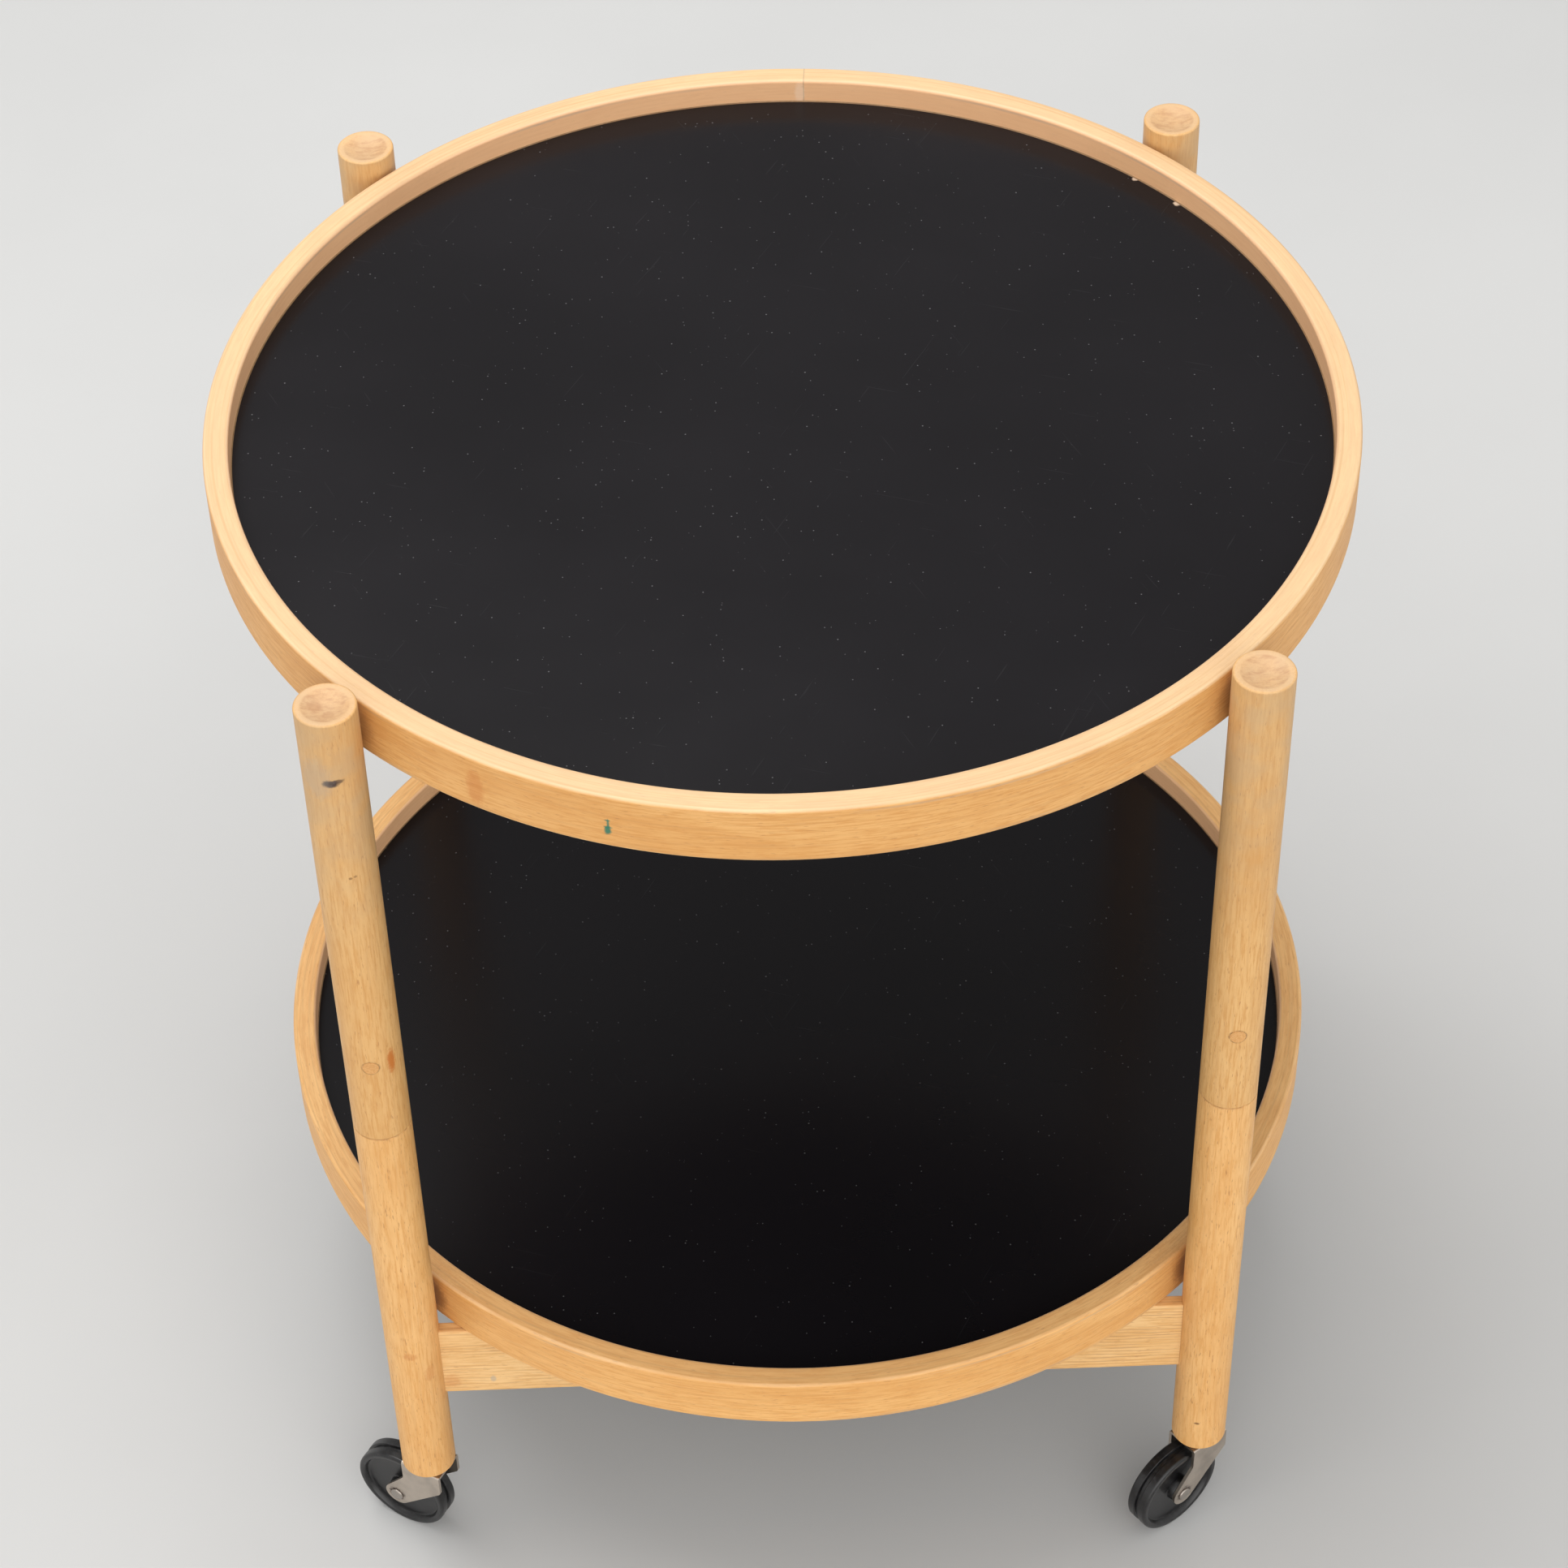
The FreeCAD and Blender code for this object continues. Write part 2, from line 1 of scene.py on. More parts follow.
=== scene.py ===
"""Serving trolley: the looks of two round trays, turned legs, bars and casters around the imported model.

Metres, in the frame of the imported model. Run as a script, it dresses the model, lights it and sets a camera.
"""
import json
import math

import bpy
from bpy.props import FloatProperty, FloatVectorProperty, IntProperty, PointerProperty
from mathutils import Euler, Matrix, Vector


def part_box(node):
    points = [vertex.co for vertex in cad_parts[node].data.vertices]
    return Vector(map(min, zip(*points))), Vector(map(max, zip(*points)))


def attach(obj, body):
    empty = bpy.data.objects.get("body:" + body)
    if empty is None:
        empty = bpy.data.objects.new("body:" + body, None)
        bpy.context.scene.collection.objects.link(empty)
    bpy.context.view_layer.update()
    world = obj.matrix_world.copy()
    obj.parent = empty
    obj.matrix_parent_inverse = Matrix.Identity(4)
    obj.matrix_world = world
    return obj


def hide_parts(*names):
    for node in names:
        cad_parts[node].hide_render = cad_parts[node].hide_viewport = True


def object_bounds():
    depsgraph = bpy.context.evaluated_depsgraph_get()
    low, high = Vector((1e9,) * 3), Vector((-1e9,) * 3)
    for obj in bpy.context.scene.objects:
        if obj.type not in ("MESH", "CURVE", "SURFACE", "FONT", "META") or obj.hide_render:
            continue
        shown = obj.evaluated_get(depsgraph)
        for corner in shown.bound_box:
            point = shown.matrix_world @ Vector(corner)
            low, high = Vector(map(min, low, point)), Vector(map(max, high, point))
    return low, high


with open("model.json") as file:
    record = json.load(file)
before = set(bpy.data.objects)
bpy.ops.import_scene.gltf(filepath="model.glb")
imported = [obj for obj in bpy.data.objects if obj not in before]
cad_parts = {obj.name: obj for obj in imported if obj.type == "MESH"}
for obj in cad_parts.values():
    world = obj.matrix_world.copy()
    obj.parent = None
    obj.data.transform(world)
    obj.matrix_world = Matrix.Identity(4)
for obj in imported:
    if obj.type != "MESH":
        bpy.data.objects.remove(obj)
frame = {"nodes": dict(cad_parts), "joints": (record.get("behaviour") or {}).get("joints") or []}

bl_info = {
    "name": "Serving trolley",
    "version": (1, 0, 0),
    "blender": (4, 5, 0),
    "location": "View3D > Sidebar > Trolley",
    "description": "Dresses a round-tray serving trolley and sets its stage",
    "category": "Object",
}

CAD_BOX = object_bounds()
CORNERS = ("front_left", "front_right", "back_left", "back_right")
FIRST = CORNERS[0]
JOINTS = {joint["name"]: joint for joint in frame["joints"]}
MM = 0.001
UP = Vector((0.0, 0.0, 1.0))
RIGHT = Vector((1.0, 0.0, 0.0))

# Modelling: points closer than the weld become one, and edges blunter than the angle are shaded smooth
WELD = 0.002 * MM
SMOOTH_ANGLE = math.radians(40)
PIN_SIDES = 48
DISH_STEPS = 8
WHEEL_CLEARANCE = 0.06 * MM

# Tones that only some of the beech shows, and those of marks, wear, painted highlights and painted shade, as
# linear colours
WORN_BEECH = (0.66, 0.525, 0.35)
GREY_BEECH = (0.53, 0.352, 0.185)
# Painted highlight along the rims' outer top edges
PAINTED_EDGE_HIGHLIGHT = (0.93, 0.76, 0.52)
PINK_BEECH = (0.78, 0.465, 0.275)
END_GRAIN = (0.60, 0.42, 0.26)
DISH_DIRT = (0.38, 0.19, 0.09)
GLUE_LINE = (0.24, 0.19, 0.14)
DARK_LINE = (0.20, 0.09, 0.03)
GREEN_PAINT = (0.02, 0.16, 0.10)
ORANGE_STAIN = (0.52, 0.17, 0.03)
# Dark of the knots, also of the painted shadows round the rivet heads
KNOT_AND_RIVET_SHADOW = (0.05, 0.025, 0.02)
GREY_RUB = (0.36, 0.32, 0.27)
CHIP = (0.62, 0.48, 0.36)
# Dark of the painted shade, with some grime, on the rims beside the legs
LEG_SHADE_AND_GRIME = (0.30, 0.125, 0.035)
DRIED_GLUE = (0.86, 0.72, 0.58)
TAN_LINE = (0.50, 0.275, 0.105)

# Tones of the pieces' beech, as shares of the base tones' channels
UPPER_LEG_SHARE = (0.90, 0.90, 0.865)
LOWER_LEG_SHARE = (1.0, 0.985, 0.94)
BAR_SHARE = (1.03, 1.11, 1.21)
PIN_SHARE = (0.88, 0.82, 0.76)
GLUE_SHARE = (0.30, 0.30, 0.34)
# Grain of the pieces' beech: strength of its growth lines, strength of its flecks, scale of its growth rings
RIM_GRAIN = (0.18, 0.5, 130.0)
LEG_GRAIN = (0.15, 0.58, 115.0)
BAR_GRAIN = (0.5, 0.5, 200.0)
PIN_GRAIN = (0.4, 0.6, 420.0)
NO_GRAIN = (0.0, 0.0, 110.0)
# Each tray's own looks: turn of the rim's joint from the back, tone of its beech, darker on the upper rim as
# painted shade, strength of its worn flats and of the painted shade, with some grime, on the rim at the legs,
# tone of the board's bloom as a share of the laminate's, lighter on the upper board as painted light and
# darker on the lower one as painted shade, and the board's shine
TRAY_LOOKS = {
    "upper_tray": {"turn": 0.074, "rim_share_with_shade": (0.94, 0.87, 0.745), "worn": 0.55, "rub": 0.3,
                   "bloom_share_with_shade": 1.35, "shine": 0.19},
    "lower_tray": {"turn": -0.62, "rim_share_with_shade": (1.0, 0.94, 0.81), "worn": 0.12, "rub": 0.75,
                   "bloom_share_with_shade": 0.75, "shine": 0.16},
}
OIL_SHINE = 0.35
FORK_ROUGHNESS = 0.26
RIVET_ROUGHNESS = 0.30
FLOOR_ROUGHNESS = 0.75

# The stage: floor, overhead soft box and how far the camera sees
FLOOR_RADIUS = 40.0
FLOOR_SIDES = 96
SOFT_BOX_PLACE = Vector((-0.6, 0.5, 2.7))
SOFT_BOX_TARGET = Vector((0.0, 0.1, 0.2))
SOFT_BOX_SIZE = 2.2
CAMERA_REACH = 120.0
# The room's light: its tint, and its strength behind the trolley and low at the horizon, as shares of that in
# front. Each fade is the part of a direction, forward or up, at which it starts and the one at which it ends
ROOM_TINT = (1.0, 0.995, 0.985)
BACK_SHARE = 0.45
BACK_FADE = (0.75, -0.35)
HORIZON_SHARE = 0.72
HORIZON_FADE = (0.30, 0.08)
# Where the soft light behind the camera stands, and the angles at which its fading starts and ends
FILL_WAY = Vector((0.12, -0.96, 0.26)).normalized()
FILL_FADE = (math.radians(20), math.radians(50))
# Strength of the room where the camera looks straight at it: the tone of the floor far away
BACKDROP_STRENGTH = 0.66


def centre_of(node):
    low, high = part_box(node)
    return (low + high) / 2


def half_width(node):
    low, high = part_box(node)
    return (high.x - low.x) / 2


def half_height(node):
    low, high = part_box(node)
    return (high.z - low.z) / 2


def length_property(label, note, millimetres):
    return FloatProperty(name=label, description=note, default=millimetres * MM, unit="LENGTH")


def strength_property(label, note, default):
    return FloatProperty(name=label, description=note, default=default, min=0.0, max=1.0)


def colour_property(label, note, default):
    return FloatVectorProperty(name=label, description=note, default=default, subtype="COLOR",
                               min=0.0, max=1.0)


class TrolleySizes(bpy.types.PropertyGroup):
    """Sizes of the pieces that are modelled here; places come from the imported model."""

    rim_thickness: length_property("Rim thickness", "Wall of the bent rim", 11.0)
    rim_rounding: length_property("Rim rounding", "Radius along the rim's four edges", 1.7)
    bead_width: length_property("Glue bead", "Bead of glue where the board meets the rim", 0.45)
    leg_edge: length_property("Leg edge", "Broken edge at the ends of each leg half", 0.8)
    dish_margin: length_property("Dish margin", "Flat ring round the dish on a leg's top", 2.4)
    dish_depth: length_property("Dish depth", "Depth of the dish on a leg's top", 2.2)
    wheel_edge: length_property("Wheel edge", "Rounding of the tread's outer edges", 1.4)
    tread_groove: length_property("Tread groove", "Half width of the groove round the tread", 1.3)
    tread_groove_depth: length_property("Tread groove depth", "Depth of that groove", 1.5)
    wheel_lip: length_property("Wheel lip", "Width of the raised lip round each side", 3.2)
    wheel_dish: length_property("Wheel dish", "Depth of the dished sides", 2.8)
    hub_radius: length_property("Hub radius", "Radius of the wheel's hub", 6.2)
    hub_rise: length_property("Hub rise", "How far the hub stands out past the tread", 0.9)
    wheel_half: length_property("Half wheel width", "Half the width over the tread", 6.0)
    axle_radius: length_property("Axle radius", "Radius of the axle rivet", 2.2)
    rivet_head: length_property("Rivet head", "Height of the rivet's domed heads", 1.1)
    pin_radius: length_property("Pin radius", "Radius of a pin where it shows on the leg", 3.5)
    pin_proud: length_property("Pin proud", "How far a pin's ends stand out of the leg", 0.18)
    round_steps: IntProperty(name="Steps round a tray", description="Faces round a tray rim",
                             default=288, min=32)
    leg_steps: IntProperty(name="Steps round a leg", description="Faces round a leg or wheel",
                           default=72, min=16)


class TrolleyColours(bpy.types.PropertyGroup):
    """Colours of the finishes, as linear values."""

    beech_pale: colour_property("Pale beech", "Spring wood", (0.80, 0.485, 0.205))
    beech_deep: colour_property("Deep beech", "Autumn wood", (0.65, 0.325, 0.10))
    beech_fleck: colour_property("Fleck", "Ray flecks and pores", (0.38, 0.16, 0.05))
    laminate: colour_property("Laminate", "Black board", (0.0062, 0.0054, 0.0066))
    dust: colour_property("Dust", "Specks and scratches", (0.19, 0.19, 0.195))
    wheel_black: colour_property("Wheel black", "Moulded wheel", (0.006, 0.0055, 0.006))
    nickel: colour_property("Nickel", "Plated fork", (0.60, 0.52, 0.44))
    steel: colour_property("Steel", "Sleeves, stems and rivets", (0.50, 0.45, 0.40))
    floor: colour_property("Floor", "Plain pale floor", (0.537, 0.537, 0.532))


class TrolleyWear(bpy.types.PropertyGroup):
    """How strongly age and use show."""

    rim_inside: strength_property("Rim inside", "Pink tone inside the rims", 0.7)
    rim_lines: strength_property("Rim lines", "Growth lines on the rims' flats", 0.34)
    rim_grime: strength_property("Rim grime", "Grey line under the rims' edges", 0.35)
    rim_joint: strength_property("Rim joint", "Glue line where a rim's ends meet", 0.5)
    leg_end: strength_property("Leg end", "End grain on the legs' tops", 0.45)
    leg_seam: strength_property("Leg seam", "Dark line where a leg's halves meet", 0.5)
    specks: strength_property("Specks", "Dust on the boards", 0.5)
    scratches: strength_property("Scratches", "Hair scratches on the boards", 0.03)
    scuffs: strength_property("Scuffs", "Grey scuffs on the wheels", 0.17)


class TrolleyStage(bpy.types.PropertyGroup):
    """Camera and light."""

    camera_place: FloatVectorProperty(name="Camera place", description="Where the camera stands",
                                      default=(-0.0181, -1.3514, 1.6647), subtype="TRANSLATION")
    camera_turn: FloatVectorProperty(name="Camera turn", description="Pitch from level, heading and roll",
                                     default=(-0.7824, -0.0108, -0.0282), subtype="EULER")
    focal_share: FloatProperty(name="Focal share", description="Focal length over the picture's width",
                               default=2.5658)
    lamp_power: FloatProperty(name="Overhead lamp", description="Power of the overhead soft box",
                              default=45.0)
    fill_strength: FloatProperty(name="Fill light", default=1.36,
                                 description="Strength of the soft light behind the camera")
    world_strength: FloatProperty(name="Room light", description="Strength of the even light all round",
                                  default=1.02)


def sizes():
    return bpy.context.scene.trolley_sizes


def colours():
    return bpy.context.scene.trolley_colours


def wear():
    return bpy.context.scene.trolley_wear


# Modelling by hand-like steps


def deselect():
    if bpy.context.object is not None and bpy.context.object.mode != "OBJECT":
        bpy.ops.object.mode_set(mode="OBJECT")
    bpy.ops.object.select_all(action="DESELECT")


def select_only(obj):
    deselect()
    obj.select_set(True)
    bpy.context.view_layer.objects.active = obj


def give_name(obj, name):
    obj.name = name
    obj.data.name = name


def modify(obj, kind, **settings):
    """Adds a modifier to the selected object and applies it."""
    bpy.ops.object.modifier_add(type=kind)
    modifier = obj.modifiers[-1]
    for key, value in settings.items():
        setattr(modifier, key, value)
    bpy.ops.object.modifier_apply(modifier=modifier.name)


def smooth(obj):
    """Smooth shading whose flats stay flat beside their rounded edges."""
    select_only(obj)
    bpy.ops.object.shade_smooth_by_angle(angle=SMOOTH_ANGLE)
    modify(obj, "WEIGHTED_NORMAL", keep_sharp=True)


def draw_outline(name, points):
    """A line of edges through the points, extruded from one vertex. Edit mode stays on."""
    deselect()
    bpy.ops.mesh.primitive_plane_add(size=1.0, location=(0.0, 0.0, 0.0))
    obj = bpy.context.object
    give_name(obj, name)
    bpy.ops.object.mode_set(mode="EDIT")
    bpy.ops.mesh.select_all(action="SELECT")
    bpy.ops.mesh.merge(type="CENTER")
    bpy.ops.transform.translate(value=points[0])
    for before, after in zip(points, points[1:]):
        step = Vector(after) - Vector(before)
        bpy.ops.mesh.extrude_vertices_move(TRANSFORM_OT_translate={"value": step})
    return obj


def turned(name, outline, centre, axis, out, steps):
    """Draws (radius, height) points out from a centre and along an axis, and spins them round that axis."""
    points = [tuple(centre + out * radius + axis * height) for radius, height in outline]
    obj = draw_outline(name, points)
    bpy.ops.mesh.select_all(action="SELECT")
    bpy.ops.mesh.spin(steps=steps, angle=2 * math.pi, center=centre, axis=axis)
    bpy.ops.mesh.select_all(action="SELECT")
    bpy.ops.mesh.remove_doubles(threshold=WELD)
    bpy.ops.mesh.normals_make_consistent(inside=False)
    bpy.ops.object.mode_set(mode="OBJECT")
    smooth(obj)
    return obj


def arc(middle, radius, start, end, steps=5):
    """Points of a round stretch in an outline's own plane, angles in degrees."""
    points = []
    for index in range(steps + 1):
        angle = math.radians(start + (end - start) * index / steps)
        points.append((middle[0] + radius * math.cos(angle), middle[1] + radius * math.sin(angle)))
    return points


def both_sides(side):
    """An outline's one side, followed by its mirror image below."""
    return side + [(radius, -height) for radius, height in reversed(side)]


def copied(original, name, matrix):
    """A copy with its own mesh, moved within that mesh."""
    piece = original.copy()
    piece.data = original.data.copy()
    give_name(piece, name)
    bpy.context.scene.collection.objects.link(piece)
    piece.data.transform(matrix)
    return piece


def finish(obj, node, body, material):
    """Sets a new piece in the place of a CAD node, on the node's body."""
    obj.data.materials.clear()
    obj.data.materials.append(material)
    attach(obj, body)
    if node is not None:
        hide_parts(node)


def dress(node, material):
    """Gives a CAD node that stays in sight a better finish."""
    mesh = frame["nodes"][node].data
    mesh.materials.clear()
    mesh.materials.append(material)


# Shader building


def node(tree, kind, inputs=None, **settings):
    made = tree.nodes.new(kind)
    for key, value in settings.items():
        setattr(made, key, value)
    for key, value in (inputs or {}).items():
        if isinstance(value, bpy.types.NodeSocket):
            tree.links.new(value, made.inputs[key])
        else:
            made.inputs[key].default_value = value
    return made


def calc(tree, operation, first, second=0.0, third=0.0, clamp=False):
    made = node(tree, "ShaderNodeMath", {0: first, 1: second, 2: third}, operation=operation, use_clamp=clamp)
    return made.outputs[0]


def times(tree, first, second):
    return calc(tree, "MULTIPLY", first, second)


def away(tree, value, target):
    """How far a value is from a target, either way."""
    return calc(tree, "ABSOLUTE", calc(tree, "SUBTRACT", value, target))


def across_corner(tree, first, second):
    """The distance that two distances at a right angle make."""
    return calc(tree, "SQRT", calc(tree, "ADD", times(tree, first, first), times(tree, second, second)))


def vector_calc(tree, operation, first, second):
    return node(tree, "ShaderNodeVectorMath", {0: first, 1: second}, operation=operation).outputs[0]


def scaled(tree, vector, x, y, z):
    return vector_calc(tree, "MULTIPLY", vector, (x, y, z))


def parts_of(tree, vector):
    return node(tree, "ShaderNodeSeparateXYZ", {0: vector}).outputs


def joined(tree, x, y, z):
    return node(tree, "ShaderNodeCombineXYZ", {0: x, 1: y, 2: z}).outputs[0]


def noise(tree, vector, scale=1.0, detail=2.0, roughness=0.5):
    made = node(tree, "ShaderNodeTexNoise", {"Vector": vector, "Scale": scale, "Detail": detail,
                                             "Roughness": roughness})
    return made.outputs["Fac"]


def band(tree, value, low, high):
    """0 below low, 1 above high, smooth between; low may be the larger of the two."""
    made = node(tree, "ShaderNodeMapRange", {"Value": value, "From Min": low, "From Max": high},
                interpolation_type="SMOOTHSTEP")
    return made.outputs["Result"]


def patches(tree, vector, low, high, scale=1.0, detail=2.0, roughness=0.5):
    """Soft-edged patches: a noise, 0 below low and 1 above high."""
    return band(tree, noise(tree, vector, scale, detail, roughness), low, high)


def colour(value):
    return (value[0], value[1], value[2], 1.0)


def blend(tree, factor, first, second):
    made = node(tree, "ShaderNodeMix", {0: factor, 6: first, 7: second}, data_type="RGBA", blend_type="MIX")
    return made.outputs[2]


def laid(tree, paint, mask, strength, shade):
    """Lays a shade over a colour where a mask shows, at a strength."""
    return blend(tree, times(tree, mask, strength), paint, colour(shade))


VECTOR = "NodeSocketVector"
COLOUR = "NodeSocketColor"
VALUE = "NodeSocketFloat"


def shared_group(name, inputs, outputs, draw):
    """A shader group, drawn at its first use. Inputs name a socket's kind, or a value's default."""
    group = bpy.data.node_groups.get(name)
    if group is not None:
        return group
    group = bpy.data.node_groups.new(name, "ShaderNodeTree")
    for label, given in inputs.items():
        if isinstance(given, str):
            group.interface.new_socket(name=label, in_out="INPUT", socket_type=given)
        else:
            socket = group.interface.new_socket(name=label, in_out="INPUT", socket_type=VALUE)
            socket.default_value = given
    for label, kind in outputs.items():
        group.interface.new_socket(name=label, in_out="OUTPUT", socket_type=kind)
    results = draw(group, group.nodes.new("NodeGroupInput").outputs)
    out = group.nodes.new("NodeGroupOutput")
    for label, socket in results.items():
        group.links.new(socket, out.inputs[label])
    return group


def grain_group():
    """Beech: soft streaks and growth lines along Z, with short flecks. The vector is in metres."""
    inputs = {"Vector": VECTOR, "Pale": COLOUR, "Deep": COLOUR, "Fleck": COLOUR,
              "Lines": 0.5, "Flecks": 0.5, "Rings": 110.0}
    outputs = {"Color": COLOUR, "Roughness": VALUE, "Height": VALUE}
    return shared_group("Beech grain", inputs, outputs, draw_grain)


def draw_grain(tree, given):
    place = given["Vector"]
    streak = patches(tree, scaled(tree, place, 70.0, 70.0, 7.0), 0.32, 0.70, detail=3.0)
    cloud = patches(tree, scaled(tree, place, 14.0, 14.0, 5.0), 0.35, 0.70)
    figure = patches(tree, scaled(tree, place, 120.0, 120.0, 38.0), 0.42, 0.70, detail=4.0, roughness=0.6)
    warm = calc(tree, "MULTIPLY_ADD", streak, 0.24, times(tree, cloud, 0.30))
    warm = calc(tree, "MULTIPLY_ADD", figure, 0.30, warm, clamp=True)
    base = blend(tree, warm, given["Pale"], given["Deep"])
    off_centre = vector_calc(tree, "ADD", scaled(tree, place, 1.0, 1.0, 0.2), (0.031, 0.022, 0.0))
    rings = node(tree, "ShaderNodeTexWave", {
        "Vector": off_centre, "Scale": given["Rings"], "Distortion": 3.2, "Detail": 2.0, "Detail Scale": 1.4},
        wave_type="RINGS", rings_direction="Z")
    breaks = patches(tree, scaled(tree, place, 160.0, 160.0, 30.0), 0.36, 0.62)
    ring_lines = times(tree, band(tree, rings.outputs["Fac"], 0.55, 0.97), breaks)
    lined = blend(tree, times(tree, ring_lines, given["Lines"]), base, given["Fleck"])
    fine = noise(tree, scaled(tree, place, 1050.0, 1050.0, 75.0), detail=3.0, roughness=0.65)
    combed = blend(tree, times(tree, band(tree, fine, 0.42, 0.66), 0.8), lined, given["Deep"])
    dashes = patches(tree, scaled(tree, place, 1500.0, 1500.0, 210.0), 0.64, 0.76, detail=1.0)
    dashes = times(tree, dashes, given["Flecks"])
    return {
        "Color": blend(tree, dashes, combed, given["Fleck"]),
        "Roughness": calc(tree, "MULTIPLY_ADD", fine, 0.16, 0.40),
        "Height": calc(tree, "SUBTRACT", times(tree, fine, 0.5), dashes),
    }


def round_group():
    """Turns a place in a tray's rim into distance from the middle, height and length round the rim.

    The length starts at the front, so that its two ends meet at the back, at the rim's own joint."""
    inputs = {"Vector": VECTOR, "Radius": 0.25, "Turn": 0.0}
    return shared_group("Round the rim", inputs, {"Vector": VECTOR, "Joint": VALUE}, draw_round)


def draw_round(tree, given):
    turned_place = node(tree, "ShaderNodeVectorRotate", {"Vector": given["Vector"], "Angle": given["Turn"]},
                        rotation_type="Z_AXIS")
    x, y, z = parts_of(tree, turned_place.outputs[0])
    angle = calc(tree, "ARCTAN2", x, times(tree, y, -1.0))
    length = times(tree, angle, given["Radius"])
    seam = times(tree, band(tree, calc(tree, "ABSOLUTE", x), 0.4 * MM, 0.1 * MM), band(tree, y, 0.0, 10 * MM))
    return {"Vector": joined(tree, across_corner(tree, x, y), z, length), "Joint": seam}


def speck_group():
    """Scattered round specks: 1 in a speck, 0 beside it. Share is the part of the cells that hold one."""
    inputs = {"Vector": VECTOR, "Scale": 100.0, "Size": 0.1, "Share": 0.2}
    return shared_group("Specks", inputs, {"Mask": VALUE}, draw_specks)


def draw_specks(tree, given):
    cells = node(tree, "ShaderNodeTexVoronoi", {"Vector": given["Vector"], "Scale": given["Scale"]}).outputs
    picked = node(tree, "ShaderNodeSeparateColor", {0: cells["Color"]}).outputs
    chosen = calc(tree, "LESS_THAN", picked[0], given["Share"])
    size = times(tree, given["Size"], calc(tree, "ADD", picked[1], 0.3))
    inside = band(tree, calc(tree, "DIVIDE", cells["Distance"], size), 1.0, 0.5)
    return {"Mask": times(tree, inside, chosen)}


def mark_group():
    """One soft-edged mark: 1 at its centre, ragged at its edge. Stretch lengthens it along Z."""
    inputs = {"Vector": VECTOR, "Centre": VECTOR, "Size": 0.004, "Stretch": 1.0}
    return shared_group("Mark", inputs, {"Mask": VALUE}, draw_mark)


def draw_mark(tree, given):
    x, y, z = parts_of(tree, vector_calc(tree, "SUBTRACT", given["Vector"], given["Centre"]))
    flat = joined(tree, x, y, calc(tree, "DIVIDE", z, given["Stretch"]))
    reach = node(tree, "ShaderNodeVectorMath", {0: flat}, operation="LENGTH").outputs["Value"]
    ragged = noise(tree, given["Vector"], scale=700.0, detail=3.0)
    edge = times(tree, given["Size"], calc(tree, "MULTIPLY_ADD", ragged, 0.9, 0.55))
    return {"Mask": band(tree, calc(tree, "DIVIDE", reach, edge), 1.0, 0.45)}


def grouped(tree, group, inputs):
    return node(tree, "ShaderNodeGroup", inputs, node_tree=group).outputs


def new_material(name):
    """A material with its Principled BSDF, and Object coordinates to draw on."""
    material = bpy.data.materials.new(name)
    material.use_nodes = True
    tree = material.node_tree
    shader = tree.nodes["Principled BSDF"]
    place = tree.nodes.new("ShaderNodeTexCoord").outputs["Object"]
    return material, tree, shader, place


def surface(tree, shader, paint, roughness, height, strength, distance):
    """Gives a shader its colour, its roughness and a bump."""
    tree.links.new(paint, shader.inputs["Base Color"])
    tree.links.new(roughness, shader.inputs["Roughness"])
    bump = node(tree, "ShaderNodeBump", {"Height": height, "Strength": strength, "Distance": distance})
    tree.links.new(bump.outputs["Normal"], shader.inputs["Normal"])


def beech_base(tree, vector, grain, share):
    """The grain of oiled beech, its two tones shifted by a share of each channel."""
    tone = colours()
    pale, deep = ([channel * part for channel, part in zip(base, share)]
                  for base in (tone.beech_pale, tone.beech_deep))
    lines, flecks, rings = grain
    return grouped(tree, grain_group(), {
        "Vector": vector, "Pale": colour(pale), "Deep": colour(deep), "Fleck": colour(tone.beech_fleck),
        "Lines": lines, "Flecks": flecks, "Rings": rings})


def marked(tree, place, paint, marks):
    """Lays marks over a colour: each a place, size, stretch along Z, strength and colour."""
    for centre, size, stretch, strength, shade in marks:
        mask = grouped(tree, mark_group(), {
            "Vector": place, "Centre": centre, "Size": size, "Stretch": stretch})
        paint = laid(tree, paint, mask["Mask"], strength, shade)
    return paint


def wood_finish(tree, shader, grain, paint):
    """A thin oiled finish over a coloured grain."""
    surface(tree, shader, paint, grain["Roughness"], grain["Height"], 0.25, 0.12 * MM)
    shader.inputs["Specular IOR Level"].default_value = OIL_SHINE


